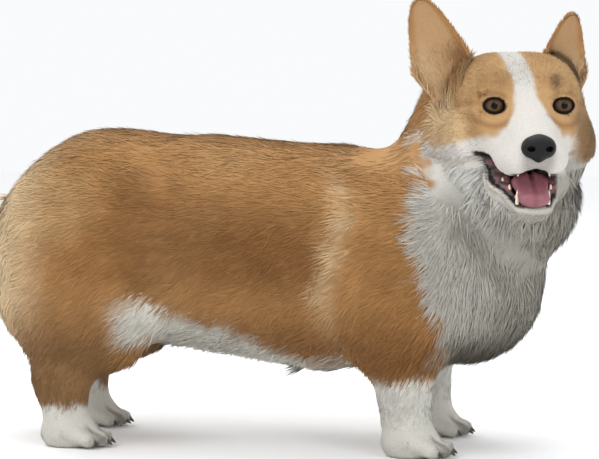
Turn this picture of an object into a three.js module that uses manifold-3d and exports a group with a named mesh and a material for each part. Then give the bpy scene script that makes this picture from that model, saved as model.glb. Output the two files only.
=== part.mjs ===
// A standing Pembroke Welsh corgi, life size, with its head turned to its right and its mouth open.
// Millimetres. +X runs forward along the body, +Y to the dog's left and +Z up; the paws stand on Z = 0.
// The body is one smooth field of ellipsoids and tapered bones. Each node is the stretch of that field
// near its own forms, meshed by casting rays from a line inside it, and keeps a thin gap to the next.

import * as THREE from "three";
import { mergeVertices } from "three/addons/utils/BufferGeometryUtils.js";
import Module from "manifold-3d";

const wasm = await Module();
wasm.setup();

// Driving dimensions
const WITHERS = 274; // floor to the top of the coat on the withers
const RUMP = 288; // floor to the top of the coat on the croup
const BELLY = 84; // floor to the underline at the flank
const BRISKET = 66; // floor to the underline behind the elbows
const RIB_HALF_WIDTH = 103; // middle to the coat on the ribs
const HIP_X = -156; // line of the hind legs
const SHOULDER_X = 138; // line of the forelegs
const STANCE = 64; // middle to the line of each paw
const LEFT_HIND_STEP = -18; // the left hind foot stands this far behind the right
const WRIST_Z = 33; // cut between foreleg and forepaw
const HOCK_Z = 28; // cut between hind leg and hind paw
const EYES_AT = new THREE.Vector3(245.2, -99, 312); // point between the eyes
const HEAD_HEADING = -73; // degrees, from +X towards the dog's left
const HEAD_PITCH = 3; // degrees, nose down
const EYE_SPREAD = 29.5; // middle of the face to the centre of each eye
const EYE_HEIGHT = -3;
const EYE_RADIUS = 10.5;
const NOSE_FORWARD = 58; // eyes to the middle of the nose pad
const GAP = 0.3; // clearance between neighbouring nodes
const RUFF_DEPTH = 22; // coat of the ruff
const BREECHES_DEPTH = 14; // coat behind the thighs
const FRINGE_DEPTH = 16; // coat under the belly
const CORE_SHARE = 0.55; // share of that coat that stands clear of the core, as locks

const v3 = (x, y, z) => new THREE.Vector3(x, y, z);
const { degToRad: radians, clamp, lerp, smoothstep } = THREE.MathUtils;
const SIDES = { right: -1, left: 1 };
const both = (make) => [make(-1), make(1)];

// The head's own frame: forward along the muzzle, left, and up, from the point between the eyes
const headTurn = new THREE.Quaternion()
  .setFromAxisAngle(v3(0, 0, 1), radians(HEAD_HEADING))
  .multiply(new THREE.Quaternion().setFromAxisAngle(v3(0, 1, 0), radians(HEAD_PITCH)));
const alongHead = (forward, left, up) => v3(forward, left, up).applyQuaternion(headTurn);
const onHead = (forward, left, up) => alongHead(forward, left, up).add(EYES_AT);

// Fields give the distance from a point to a form's surface, negative inside it
const offset = v3(0, 0, 0);

function ellipsoid(centre, [a, b, c], turn = new THREE.Quaternion()) {
  const back = turn.clone().invert();
  return (p) => {
    offset.copy(p).sub(centre).applyQuaternion(back);
    const near = Math.hypot(offset.x / a, offset.y / b, offset.z / c);
    const slope = Math.hypot(offset.x / a ** 2, offset.y / b ** 2, offset.z / c ** 2);
    return slope < 1e-9 ? -Math.min(a, b, c) : (near * (near - 1)) / slope;
  };
}

// A tapered bone; width stretches its section sideways in the frame of turn
function bone(from, to, startRadius, endRadius, width = 1, turn = new THREE.Quaternion()) {
  const back = turn.clone().invert();
  const run = to.clone().sub(from);
  return (p) => {
    offset.copy(p).sub(from);
    const share = clamp(offset.dot(run) / run.lengthSq(), 0, 1);
    offset.addScaledVector(run, -share).applyQuaternion(back);
    offset.y /= width;
    return offset.length() - lerp(startRadius, endRadius, share);
  };
}

// Smooth union: forms nearer to each other than reach melt together
function melt(reach, forms) {
  return (p) => {
    let d = forms[0](p);
    for (let i = 1; i < forms.length; i++) {
      const e = forms[i](p);
      const overlap = Math.max(reach - Math.abs(d - e), 0);
      d = Math.min(d, e) - overlap ** 2 / (4 * reach);
    }
    return d;
  };
}

function outward(field, p, step = 0.6) {
  const rise = ["x", "y", "z"].map((axis) => {
    const q = p.clone();
    q[axis] += step;
    const ahead = field(q);
    q[axis] -= 2 * step;
    return ahead - field(q);
  });
  return v3(...rise).normalize();
}

// Trunk
const trunk = melt(34, [
  ellipsoid(v3(62, 0, (WITHERS + BRISKET) / 2), [140, RIB_HALF_WIDTH, (WITHERS - BRISKET) / 2]),
  ellipsoid(v3(-50, 0, (WITHERS + BELLY) / 2 + 3), [126, RIB_HALF_WIDTH - 6, (WITHERS - BELLY) / 2 + 5]),
  ellipsoid(v3(-144, 0, RUMP - 96), [93, RIB_HALF_WIDTH - 13, 95]),
  ellipsoid(v3(172, 0, 162), [68, 78, 82]),
  ...both((side) => ellipsoid(v3(SHOULDER_X + 2, side * 56, 165), [58, 50, 88])),
  ...both((side) => ellipsoid(v3(HIP_X - 2, side * 56, 166), [82, 50, 98])),
  ...both((side) => ellipsoid(v3(HIP_X - 43, side * 38, 158), [38, 44, 66])),
]);

// Neck and ruff
const neck = melt(30, [
  bone(v3(164, 0, 208), v3(198, -10, 288), 72, 62),
  ellipsoid(v3(226, -8, 228), [60, 72, 62]),
  ellipsoid(v3(192, 0, 154), [62, 74, 72]),
]);

// Legs
const hindStep = (side) => (side > 0 ? LEFT_HIND_STEP : 0);
const shank = (side) => {
  const x = HIP_X + hindStep(side);
  const y = side * STANCE;
  return melt(14, [
    ellipsoid(v3(HIP_X + 12 + hindStep(side) / 2, side * 62, 116), [46, 32, 48]),
    bone(v3(x - 4, y, 112), v3(x - 20, y, 62), 34, 25, 0.9),
    bone(v3(x - 20, y, 62), v3(x - 14, y, 16), 24.5, 21, 0.9),
  ]);
};
const disc = (side, x, z, along, high, inner) => {
  const round = ellipsoid(v3(x, side * 90, z), [along, 130, high]);
  return (p) => Math.max(round(p), inner - side * p.y);
};
const haunch = (side) => disc(side, HIP_X - 4, 160, 76, 92, 30);
const forearm = (side) => {
  const y = side * STANCE;
  return melt(14, [
    ellipsoid(v3(SHOULDER_X - 8, side * 66, 116), [40, 32, 46]),
    bone(v3(SHOULDER_X - 6, y, 106), v3(SHOULDER_X + 2, y, 20), 33, 22, 0.9),
  ]);
};
const upperArm = (side) => disc(side, SHOULDER_X - 4, 142, 46, 62, 36);

// Head
const skullBall = (place, radii) => ellipsoid(onHead(...place), radii, headTurn);
const skullBone = (from, to, start, end, width) =>
  bone(onHead(...from), onHead(...to), start, end, width, headTurn);
const head = melt(14, [
  melt(16, [
    skullBall([-46, 0, -3], [58, 34, 39]),
    ...both((side) => skullBall([-48, side * 21, -2], [58, 36, 41])),
    ...both((side) => skullBall([-44, side * 38, -40], [40, 32, 38])),
    ...both((side) => skullBall([-4, side * 25, 8], [15, 14, 10])),
    ...both((side) => skullBall([0, side * 29, -23], [22, 16, 15])),
  ]),
  melt(8, [
    skullBone([-14, 0, -16], [NOSE_FORWARD - 16, 0, -36], 29, 19, 1.08),
    ...both((side) => skullBall([30, side * 15, -46], [27, 15, 15])),
    ...both((side) => skullBone([26, side * 16, -45], [-14, side * 30, -36], 13, 12, 1)),
  ]),
]);
const jaw = melt(10, [
  ...both((side) => skullBone([-30, side * 33, -54], [10, side * 24, -73], 15, 12.5, 1)),
  ...both((side) => skullBone([10, side * 24, -73], [34, side * 8, -92], 12.5, 10, 1)),
  skullBone([-30, 0, -74], [37, 0, -93.5], 15, 9.5, 1.3),
]);

// Heights of the lips, from the corner of the mouth to the front. They part on the dog's right and in
// front, and meet on its left
const UPPER_LIP = [[-1, -43.7], [12, -44.6], [26, -55.7], [34, -61.2], [43, -58.5], [70, -57.5]];
const LOWER_LIP = [[-1, -44.5], [3, -53.2], [14, -63], [25, -71.2], [31, -78.2], [39, -84.8], [70, -90]];
const LIPS_MEET = 22; // this far left of the middle
function lipAt(line, u) {
  const i = clamp(line.findIndex(([forward]) => forward > u), 1, line.length - 1);
  const [[u0, w0], [u1, w1]] = [line[i - 1], line[i]];
  return lerp(w0, w1, clamp((u - u0) / (u1 - u0), 0, 1));
}

// The whole body
const body = melt(26, [
  trunk,
  neck,
  ...both(shank),
  ...both(forearm),
]);
const dog = melt(16, [body, head]);

// How far the core lies below the tips of the coat, where the coat is made of locks
const within = (x, low, high, ramp) => smoothstep(x, low - ramp, low) - smoothstep(x, high, high + ramp);
function lockDepth(p) {
  const clearOfHead = smoothstep(head(p), 4, 20) * smoothstep(jaw(p), 4, 20);
  const ruff = RUFF_DEPTH * smoothstep(p.x, 190, 225) * clearOfHead * smoothstep(p.z, 84, 110);
  const breeches = BREECHES_DEPTH * smoothstep(-p.x, 196, 214) * within(p.z, 96, 200, 16);
  const fringe = FRINGE_DEPTH * within(p.x, -90, 86, 20) * smoothstep(-p.z, -96, -84);
  return CORE_SHARE * Math.max(ruff, breeches, fringe);
}

// Distance along a ray to where a field passes level
const probe = v3(0, 0, 0);

function rayLength(field, from, direction, reach, level) {
  const at = (t) => field(probe.copy(from).addScaledVector(direction, t)) > level;
  const stride = 3;
  let near = 0;
  let far = stride;
  while (far < reach && !at(far)) {
    near = far;
    far += stride;
  }
  for (let i = 0; i < 14; i++) {
    const middle = (near + far) / 2;
    if (at(middle)) far = middle;
    else near = middle;
  }
  return Math.min(near, reach);
}

// Closed mesh of a field: rays fan out square to a spine inside it, and round its two ends
function cast(field, spine, { rings, sides, caps = 4, reach = 150, level = 0, top = v3(0, 0, 1) }) {
  const curve = new THREE.CatmullRomCurve3(spine);
  const points = [];
  const shoot = (from, direction) => {
    const length = rayLength(field, from, direction, reach, level);
    points.push(from.clone().addScaledVector(direction, length));
  };
  const fan = (from, tangent, tilt) => {
    const up = top.clone().addScaledVector(tangent, -top.dot(tangent)).normalize();
    const across = tangent.clone().cross(up);
    for (let j = 0; j < sides; j++) {
      const angle = (2 * Math.PI * j) / sides;
      const direction = up
        .clone()
        .multiplyScalar(Math.cos(angle))
        .addScaledVector(across, Math.sin(angle))
        .multiplyScalar(Math.cos(tilt))
        .addScaledVector(tangent, Math.sin(tilt));
      shoot(from, direction);
    }
  };
  const tilts = Array.from({ length: caps }, (_, i) => ((i + 1) * Math.PI) / 2 / (caps + 1));
  const [startPoint, startTangent] = [curve.getPointAt(0), curve.getTangentAt(0)];
  const [endPoint, endTangent] = [curve.getPointAt(1), curve.getTangentAt(1)];
  shoot(startPoint, startTangent.clone().negate());
  [...tilts].reverse().forEach((tilt) => fan(startPoint, startTangent, -tilt));
  for (let i = 0; i < rings; i++) {
    const share = i / (rings - 1);
    fan(curve.getPointAt(share), curve.getTangentAt(share), 0);
  }
  tilts.forEach((tilt) => fan(endPoint, endTangent, tilt));
  shoot(endPoint, endTangent);
  return wrap(points, sides);
}

// Mesh over rings of points with a pole at each end
function wrap(points, sides) {
  const rings = (points.length - 2) / sides;
  const at = (ring, j) => 1 + ring * sides + (j % sides);
  const faces = [];
  for (let j = 0; j < sides; j++) {
    faces.push(0, at(0, j + 1), at(0, j));
    faces.push(points.length - 1, at(rings - 1, j), at(rings - 1, j + 1));
    for (let i = 0; i < rings - 1; i++) {
      faces.push(at(i, j), at(i, j + 1), at(i + 1, j + 1));
      faces.push(at(i, j), at(i + 1, j + 1), at(i + 1, j));
    }
  }
  return new THREE.BufferGeometry().setFromPoints(points).setIndex(faces);
}

// three.js geometry to a solid that can be cut and joined, and back
function solid(geometry) {
  const plain = geometry.clone();
  plain.deleteAttribute("normal");
  plain.deleteAttribute("uv");
  const merged = mergeVertices(plain, 1e-3);
  return new wasm.Manifold(
    new wasm.Mesh({
      numProp: 3,
      vertProperties: merged.attributes.position.array,
      triVerts: new Uint32Array(merged.index.array),
    }),
  );
}

function geometryOf(body) {
  const mesh = body.getMesh();
  const geometry = new THREE.BufferGeometry()
    .setAttribute("position", new THREE.BufferAttribute(mesh.vertProperties, 3))
    .setIndex(new THREE.BufferAttribute(mesh.triVerts, 1));
  const flat = geometry.toNonIndexed();
  flat.computeVertexNormals();
  return flat;
}

const join = (bodies) => wasm.Manifold.union(bodies);
const largest = (body) => body.decompose().sort((a, b) => b.volume() - a.volume())[0];

function block(low, high) {
  const size = high.clone().sub(low);
  const centre = low.clone().add(high).multiplyScalar(0.5);
  return solid(new THREE.BoxGeometry(size.x, size.y, size.z).translate(centre.x, centre.y, centre.z));
}

function ball(centre, radius, detail = 16) {
  const sphere = new THREE.SphereGeometry(radius, detail, detail * 0.6);
  return solid(sphere.translate(centre.x, centre.y, centre.z));
}

// A node's core is the dog's surface, limited to the stretch near its own forms. It is made three times:
// as it is, grown by the gap, and as a cutter that also stands clear of the surface over its whole stretch
function core(own, margin, spine, shape) {
  const stretch = (p) => Math.max(dog(p) + lockDepth(p), own(p) - margin);
  return {
    body: solid(cast(stretch, spine, shape)),
    grown: solid(cast(stretch, spine, { ...shape, level: GAP })),
    cutter: solid(cast((p) => own(p) - margin, spine, { ...shape, level: GAP })),
  };
}

function pair(field, spine, shape) {
  return {
    body: solid(cast(field, spine, shape)),
    grown: solid(cast(field, spine, { ...shape, level: GAP })),
  };
}

const WORLD = 600;
const above = (z) => block(v3(-WORLD, -WORLD, z), v3(WORLD, WORLD, WORLD));
const below = (z) => block(v3(-WORLD, -WORLD, -WORLD), v3(WORLD, WORLD, z));

// A smooth closed solid for a field that every ray from its middle leaves only once
function lump(field, centre, detail, level = 0, reach = 60) {
  const sphere = new THREE.IcosahedronGeometry(1, detail).deleteAttribute("uv").deleteAttribute("normal");
  const geometry = mergeVertices(sphere);
  const position = geometry.attributes.position;
  const direction = v3(0, 0, 0);
  for (let i = 0; i < position.count; i++) {
    direction.fromBufferAttribute(position, i).normalize();
    const length = rayLength(field, centre, direction, reach, level);
    position.setXYZ(i, ...centre.clone().addScaledVector(direction, length));
  }
  return solid(geometry);
}

// A round cone from base to point, for teeth and claws
function spike(base, point, radius) {
  const axis = point.clone().sub(base);
  const geometry = new THREE.ConeGeometry(radius, axis.length(), 6, 1);
  geometry.translate(0, axis.length() / 2, 0);
  geometry.applyQuaternion(new THREE.Quaternion().setFromUnitVectors(v3(0, 1, 0), axis.normalize()));
  geometry.translate(base.x, base.y, base.z);
  return solid(geometry);
}

// A rounded cord through points
function cord(points, radius, segments) {
  const curve = new THREE.CatmullRomCurve3(points);
  const sides = 6;
  const frames = curve.computeFrenetFrames(segments, false);
  const ring = [points[0].clone()];
  for (let i = 0; i <= segments; i++) {
    const centre = curve.getPointAt(i / segments);
    const size = radius * Math.sqrt(Math.max(1 - (2 * i / segments - 1) ** 4, 0.06));
    for (let j = 0; j < sides; j++) {
      const angle = (2 * Math.PI * j) / sides;
      ring.push(
        centre
          .clone()
          .addScaledVector(frames.normals[i], size * Math.cos(angle))
          .addScaledVector(frames.binormals[i], size * Math.sin(angle)),
      );
    }
  }
  ring.push(points[points.length - 1].clone());
  return solid(wrap(ring, sides));
}

// A lock: a flat strip of hair, rooted well inside the core, that follows the surface along its lie
function lock(root, lie, { length, width, thick, lift }) {
  const rings = 3;
  const points = [];
  const place = root.clone();
  let across = null;
  let normal = null;
  for (let i = 0; i <= rings; i++) {
    normal = outward(dog, place, 2);
    const along = lie.clone().addScaledVector(normal, -lie.dot(normal)).normalize();
    across = along.clone().cross(normal);
    const share = i / rings;
    const wanted = i === 0 ? -lockDepth(place) - 9 : lerp(-0.5 * lockDepth(place) - 1, lift, share);
    place.addScaledVector(normal, wanted - dog(place));
    if (i === rings) break;
    if (i === 0) points.push(place.clone().addScaledVector(along, -2));
    const half = (width / 2) * (i === 0 ? 0.7 : 1 - 0.42 * (share - 1 / rings));
    const deep = (thick / 2) * (1 - 0.3 * share);
    points.push(place.clone().addScaledVector(across, half));
    points.push(place.clone().addScaledVector(normal, -deep));
    points.push(place.clone().addScaledVector(across, -half));
    points.push(place.clone().addScaledVector(normal, deep));
    place.addScaledVector(along, (length / rings) * (i === 0 ? 0.75 : 1.1));
  }
  points.push(place.clone());
  return solid(wrap(points, 4));
}

// Seeded random numbers
let seed = 20;
function random(low, high) {
  seed = (seed * 1664525 + 1013904223) % 4294967296;
  return lerp(low, high, seed / 4294967296);
}

// Rows of locks; each row says where its n-th lock roots and which way it lies
function rowOfLocks(count, shape, rootAt, lieAt) {
  const locks = [];
  for (let i = 0; i < count; i++) {
    const share = (i + 0.5 + random(-0.25, 0.25)) / count;
    const [from, direction] = rootAt(share);
    const reach = rayLength(dog, from, direction, 160, 0);
    const root = from.clone().addScaledVector(direction, reach);
    const size = random(0.85, 1.15);
    const varied = { ...shape, length: shape.length * size, width: shape.width * random(0.85, 1.2) };
    locks.push(lock(root, lieAt(share, root), varied));
  }
  return locks;
}

const nodes = new Map();

// Hind legs: haunch and shank
const hindLegs = {};
for (const [name, side] of Object.entries(SIDES)) {
  const x = HIP_X + hindStep(side);
  const own = melt(20, [haunch(side), shank(side)]);
  const spine = [
    v3(HIP_X - 2, side * 66, 190),
    v3(HIP_X - 2, side * 66, 150),
    v3(x - 6, side * STANCE, 100),
    v3(x - 18, side * STANCE, 62),
    v3(x - 16, side * STANCE, 14),
  ];
  const shape = { rings: 8, sides: 16, caps: 3, top: v3(1, 0, 0) };
  hindLegs[name] = core(own, 3, spine, shape);
}

// Forelegs: upper arm and forearm
const foreLegs = {};
for (const [name, side] of Object.entries(SIDES)) {
  const own = melt(16, [upperArm(side), forearm(side)]);
  const spine = [
    v3(SHOULDER_X - 2, side * 72, 160),
    v3(SHOULDER_X - 4, side * 68, 110),
    v3(SHOULDER_X + 1, side * STANCE, 60),
    v3(SHOULDER_X + 2, side * STANCE, 14),
  ];
  const shape = { rings: 7, sides: 14, caps: 3, top: v3(1, 0, 0) };
  foreLegs[name] = core(own, 3, spine, shape);
}

// Head, neck and trunk
const headStretch = core(
  head,
  10,
  [onHead(-62, 0, -8), onHead(-20, 0, -14), onHead(20, 0, -30), onHead(NOSE_FORWARD - 20, 0, -40)],
  { rings: 9, sides: 20, caps: 4 },
);
// The open mouth: a wedge between the lips
function mouthWedge() {
  const outline = [...UPPER_LIP, ...LOWER_LIP.slice(1).reverse()].map(([u, w]) => new THREE.Vector2(u, w));
  const wedge = new THREE.ExtrudeGeometry(new THREE.Shape(outline), {
    depth: 70 + LIPS_MEET,
    bevelEnabled: false,
  });
  wedge.translate(0, 0, -LIPS_MEET).rotateX(Math.PI / 2).applyQuaternion(headTurn);
  return solid(wedge.translate(EYES_AT.x, EYES_AT.y, EYES_AT.z));
}
const mouth = mouthWedge();
const headCore = {
  body: headStretch.body.subtract(mouth),
  grown: headStretch.grown.subtract(mouth),
  cutter: headStretch.cutter,
};
const neckCore = core(
  neck,
  4,
  [v3(196, 0, 140), v3(200, -2, 190), v3(206, -6, 230), v3(206, -8, 270)],
  { rings: 6, sides: 18, caps: 3, top: v3(1, 0, 0) },
);
const trunkCore = core(
  trunk,
  6,
  [v3(-160, 0, 190), v3(-60, 0, 178), v3(60, 0, 174), v3(165, 0, 170)],
  { rings: 10, sides: 18, caps: 4 },
);

const jawSpine = [onHead(-30, 0, -66), onHead(-6, 0, -76), onHead(16, 0, -84), onHead(35, 0, -92)];
const jawCore = pair(jaw, jawSpine, { rings: 6, sides: 14, caps: 3 });

// Eyes: a ball in a socket, under lids with an almond opening
const eyes = {};
for (const [name, side] of Object.entries(SIDES)) {
  const behind = onHead(-60, side * EYE_SPREAD, EYE_HEIGHT);
  const skin = rayLength(head, behind, alongHead(1, 0, 0), 150, 0) - 60;
  const middle = [skin - 7.4, side * EYE_SPREAD, EYE_HEIGHT];
  const centre = onHead(...middle);
  const lids = lump(ellipsoid(centre, [12.6, 12.8, 12], headTurn), centre, 2);
  const gaze = onHead(middle[0] + 11, side * (EYE_SPREAD + 1), EYE_HEIGHT);
  const tilt = headTurn.clone().multiply(
    new THREE.Quaternion().setFromAxisAngle(v3(1, 0, 0), radians(side * 10)),
  );
  const opening = lump(ellipsoid(gaze, [12, 9.6, 6.6], tilt), gaze, 2);
  const socket = ball(centre, EYE_RADIUS + GAP, 14);
  eyes[name] = { centre, lids, opening, socket, ball: ball(centre, EYE_RADIUS, 14) };
}

// Nose pad: a rounded block with two wings, pierced by two nostrils
const noseAt = [NOSE_FORWARD, 0, -34];
const noseField = melt(5, [
  skullBall(noseAt, [9, 11, 10.5]),
  ...both((side) => skullBall([NOSE_FORWARD - 1, side * 8, -35], [8, 6.5, 7.5])),
  skullBall([NOSE_FORWARD - 1, 0, -41], [6.5, 4, 6]),
]);
const nostrils = both((side) => {
  const at = onHead(NOSE_FORWARD + 9, side * 7.4, -35.5);
  return lump(ellipsoid(at, [7, 2.6, 2.4], headTurn), at, 1);
});
const noseBody = lump(noseField, onHead(...noseAt), 3);
const noseGrown = lump(noseField, onHead(...noseAt), 3, GAP);

// Tongue: a flat strap with a groove, out to the front of the open mouth
const tongueField = (p) => {
  const strap = melt(6, [
    skullBone([-26, 0, -66], [22, 0, -67], 7.5, 7.5, 1.6),
    skullBone([22, 0, -67], [44, 0, -79], 7.5, 7, 1.9),
  ]);
  const groove = melt(2, [
    skullBone([-26, 0, -57.5], [22, 0, -58.5], 3, 3, 1),
    skullBone([22, 0, -58.5], [48, 0, -72], 3, 3, 1),
  ]);
  return Math.max(strap(p), 3 - Math.max(groove(p) + 3, 0));
};
const tongueSpine = [onHead(-24, 0, -68), onHead(0, 0, -69), onHead(22, 0, -70), onHead(42, 0, -80)];
const tongueShape = { rings: 6, sides: 14, caps: 2, reach: 30 };
const tongue = pair(tongueField, tongueSpine, tongueShape);

// Lips: a bead along the edge of the upper and of the lower jaw
function lipLine(field, forward, line, rise, radius, last) {
  const points = [];
  const steps = 7;
  for (let i = -steps; i <= last; i++) {
    const share = Math.abs(i) / steps;
    const direction = alongHead(1 - share, Math.sign(i) * Math.sqrt(share), 0).normalize();
    const start = lerp(forward - 12, -3, share);
    let ahead = start;
    let place = null;
    for (let round = 0; round < 3; round++) {
      const from = onHead(start, 0, lipAt(line, ahead) + rise);
      place = from.clone().addScaledVector(direction, rayLength(field, from, direction, 70, 0) - 1.2);
      ahead = place.clone().sub(EYES_AT).dot(alongHead(1, 0, 0));
    }
    points.push(place);
  }
  return cord(points, radius, 12);
}
const upperLip = lipLine(head, NOSE_FORWARD - 14, UPPER_LIP, 1.4, 1.9, 7);
const lowerLip = lipLine(jaw, 32, LOWER_LIP, -1.4, 1.9, 3);

// Teeth: canines and incisors, rooted in the jaws
const upperTeeth = [
  ...both((side) => spike(onHead(38, side * 13, -48), onHead(39, side * 13.5, -62), 2.8)),
  ...[-2.5, -1.5, -0.5, 0.5, 1.5, 2.5].map((n) =>
    spike(onHead(43 - Math.abs(n), n * 3.4, -48), onHead(44 - Math.abs(n), n * 3.6, -59), 1.9),
  ),
];
const lowerTeeth = [
  ...both((side) => spike(onHead(36, side * 13, -88), onHead(38, side * 13.5, -70), 2.8)),
  ...[-1.5, -0.5, 0.5, 1.5].map((n) =>
    spike(onHead(39 - Math.abs(n), n * 3, -94), onHead(41 - Math.abs(n), n * 3.2, -84), 1.8),
  ),
];

// Ears: a cupped leaf, sunk into the skull and cut flush with it
function ear(base, tip, facing, width, rounding) {
  const foot = onHead(...base);
  const axis = onHead(...tip).sub(foot);
  const front = alongHead(...facing);
  front.addScaledVector(axis, -front.dot(axis) / axis.lengthSq()).normalize();
  const across = axis.clone().normalize().cross(front);
  const rows = 10;
  const columns = 8;
  const points = [foot.clone()];
  for (let i = 0; i <= rows; i++) {
    const share = i / rows;
    const root = 0.62 + 0.38 * smoothstep(share, 0, 0.3);
    const half = (width / 2) * root * Math.sqrt(1 - share ** rounding) * (1 - 0.12 * share) + 0.8;
    const cup = 13 * (1 - 0.55 * share) * Math.sqrt(1 - share ** 4);
    const bow = -3 * Math.sin(Math.PI * share);
    const centre = foot.clone().addScaledVector(axis, share).addScaledVector(front, bow);
    const edge = (t, back) => {
      const thick = back * (1.4 + 2.8 * (1 - t * t) * (1 - 0.5 * share));
      return centre
        .clone()
        .addScaledVector(across, half * t)
        .addScaledVector(front, -cup * (1 - t * t) - thick);
    };
    for (let j = 0; j < columns; j++) points.push(edge(-1 + (2 * j) / (columns - 1), 0));
    for (let j = 0; j < columns; j++) points.push(edge(1 - (2 * j) / (columns - 1), 1));
  }
  points.push(foot.clone().add(axis).addScaledVector(front, -1).addScaledVector(axis, 0.012));
  return solid(wrap(points, columns * 2));
}
const ears = {
  right: ear([-46, -56, 2], [-60, -83.5, 83], [0.92, -0.34, 0.1], 54, 1.95),
  left: ear([-46, 43, 4], [-56, 52.8, 71], [0.85, 0.5, 0.1], 58, 1.25),
};

// Head and lower jaw, put together and cut clear of each other
let headBody = headCore.body;
for (const eye of Object.values(eyes)) {
  headBody = headBody.add(eye.lids).subtract(eye.socket).subtract(eye.opening);
}
const palate = onHead(16, 0, -60);
headBody = headBody.subtract(lump(ellipsoid(palate, [42, 15, 11], headTurn), palate, 1));
headBody = join([headBody, upperLip, ...upperTeeth]).subtract(tongue.grown).subtract(noseGrown);
const trough = onHead(10, 0, -72);
let jawBody = jawCore.body.subtract(lump(ellipsoid(trough, [40, 14, 12], headTurn), trough, 1));
jawBody = join([jawBody, lowerLip, ...lowerTeeth])
  .subtract(headCore.grown)
  .subtract(tongue.grown);
nodes.set("head", headBody);
nodes.set("lower_jaw", jawBody);
nodes.set("tongue", tongue.body);
nodes.set("nose", noseBody.subtract(join(nostrils)));
for (const name of Object.keys(SIDES)) {
  nodes.set("eye_" + name, eyes[name].ball);
  nodes.set("ear_" + name, ears[name].subtract(headCore.grown));
}

// Paws: four toes over a palm, flat underneath, with a claw at the tip of each toe
function paw(leg, side, x, length, spread, cut) {
  const y = side * STANCE;
  const forms = [ellipsoid(v3(x + length * 0.3, y, 12), [length * 0.42, spread * 0.42, 18])];
  const claws = [];
  for (const n of [-1.5, -0.5, 0.5, 1.5]) {
    const tip = length * (0.98 - 0.09 * Math.abs(n) ** 1.6);
    const across = y + n * spread * 0.27;
    forms.push(bone(v3(x + length * 0.3, y + n * spread * 0.2, 16), v3(x + tip - 13, across, 8), 9, 7.4, 1));
    claws.push(spike(v3(x + tip - 9, across, 8), v3(x + tip - 2.5, across, 3), 2.4));
  }
  const field = melt(3, forms);
  const centre = v3(x + length * 0.42, y, 11);
  const foot = lump(field, centre, 4, 0, 70);
  const stub = largest(leg.intersect(below(cut)).subtract(below(4)));
  return join([stub, foot, ...claws]).intersect(above(0)).intersect(below(cut));
}
for (const [name, side] of Object.entries(SIDES)) {
  const fore = foreLegs[name];
  const hind = hindLegs[name];
  const feathers = rowOfLocks(
    5,
    { length: 26, width: 11, thick: 3.4, lift: 2.5 },
    (share) => [v3(SHOULDER_X - 2, side * STANCE, lerp(96, 54, share)), v3(-1, side * random(-0.3, 0.3), 0)],
    () => v3(-0.3, 0, -1),
  );
  const breeches = [184, 150, 116].flatMap((z) =>
    rowOfLocks(
      4,
      { length: 42, width: 18, thick: 4.5, lift: 1 },
      (share) => [v3(HIP_X - 10, side * 44, z), v3(-1, side * lerp(-0.3, 1.3, share), 0)],
      () => v3(-0.25, 0, -1),
    ),
  );
  nodes.set("foreleg_" + name, join([fore.body, ...feathers]).intersect(above(WRIST_Z + GAP)));
  nodes.set("hindleg_" + name, join([hind.body, ...breeches]).intersect(above(HOCK_Z + GAP)));
  nodes.set("forepaw_" + name, paw(fore.body, side, SHOULDER_X - 14, 65, 46, WRIST_Z));
  nodes.set("hindpaw_" + name, paw(hind.body, side, HIP_X - 32 + hindStep(side), 67, 42, HOCK_Z));
}

// Tail: a short bob between the haunches
const tailAt = v3(-238, 0, 206);
const tailField = ellipsoid(tailAt, [14, 15, 21]);
nodes.set("tail", lump(tailField, tailAt, 2));
const tailGrown = lump(tailField, tailAt, 2, GAP);

// Neck and torso give way to everything that meets them
let neckBody = neckCore.body.subtract(headCore.cutter).subtract(jawCore.grown);
let torsoBody = trunkCore.body.subtract(neckCore.cutter).subtract(headCore.cutter).subtract(tailGrown);
for (const name of Object.keys(SIDES)) {
  const legs = join([hindLegs[name].cutter, foreLegs[name].cutter]);
  neckBody = neckBody.subtract(legs).subtract(ears[name]);
  torsoBody = torsoBody.subtract(legs);
}
// The ruff hangs in rows round the neck and chest, towards the middle of the chest
const ruff = [
  [258, 7, -1.8, 1.5],
  [226, 7, -1.6, 1.6],
  [194, 7, -1.3, 1.3],
  [162, 6, -1.2, 1.2],
  [132, 6, -1.1, 1.1],
].flatMap(([z, count, low, high]) =>
  rowOfLocks(
    count,
    { length: 52, width: 29, thick: 5.5, lift: 2 },
    (share) => {
      const angle = lerp(low, high, share);
      return [v3(196, -6, z), v3(Math.cos(angle), Math.sin(angle), 0)];
    },
    (share, root) => v3(-0.1, -0.006 * root.y, -1),
  ),
);
nodes.set("neck", join([neckBody, ...ruff]));

// The fringe hangs along the belly
const fringe = [-0.75, 0, 0.75].flatMap((across) =>
  rowOfLocks(
    6,
    { length: 38, width: 26, thick: 4.5, lift: 3 },
    (share) => [v3(lerp(-80, 80, share), 0, 150), v3(0, across, -1)],
    () => v3(-0.7, 0, -0.8),
  ),
);
nodes.set("torso", join([torsoBody, ...fringe]));

// Where locks or facets still meet a neighbour, the later node in this order gives way
const yielding = ["hindleg_right", "hindleg_left", "foreleg_right", "foreleg_left", "tail", "neck", "torso"];
for (const [i, name] of yielding.entries()) {
  const firmer = [...nodes].filter(([other]) => !yielding.slice(i).includes(other));
  nodes.set(name, nodes.get(name).subtract(join(firmer.map(([, body]) => body))));
}

// Colours and finishes by node
const TAN = { color: 0xb07a48, roughness: 0.9 };
const WHITE = { color: 0xdcdad2, roughness: 0.9 };
const PINK = { color: 0xa5697a, roughness: 0.35 };
const DARK = { color: 0x1c1a1b, roughness: 0.4 };
const BROWN = { color: 0x2b1b12, roughness: 0.08 };
const LOOKS = [
  [/^(tongue)/, PINK],
  [/^(nose)/, DARK],
  [/^(eye)/, BROWN],
  [/^(forepaw|hindpaw|neck|foreleg|lower_jaw)/, WHITE],
  [/./, TAN],
];

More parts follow.
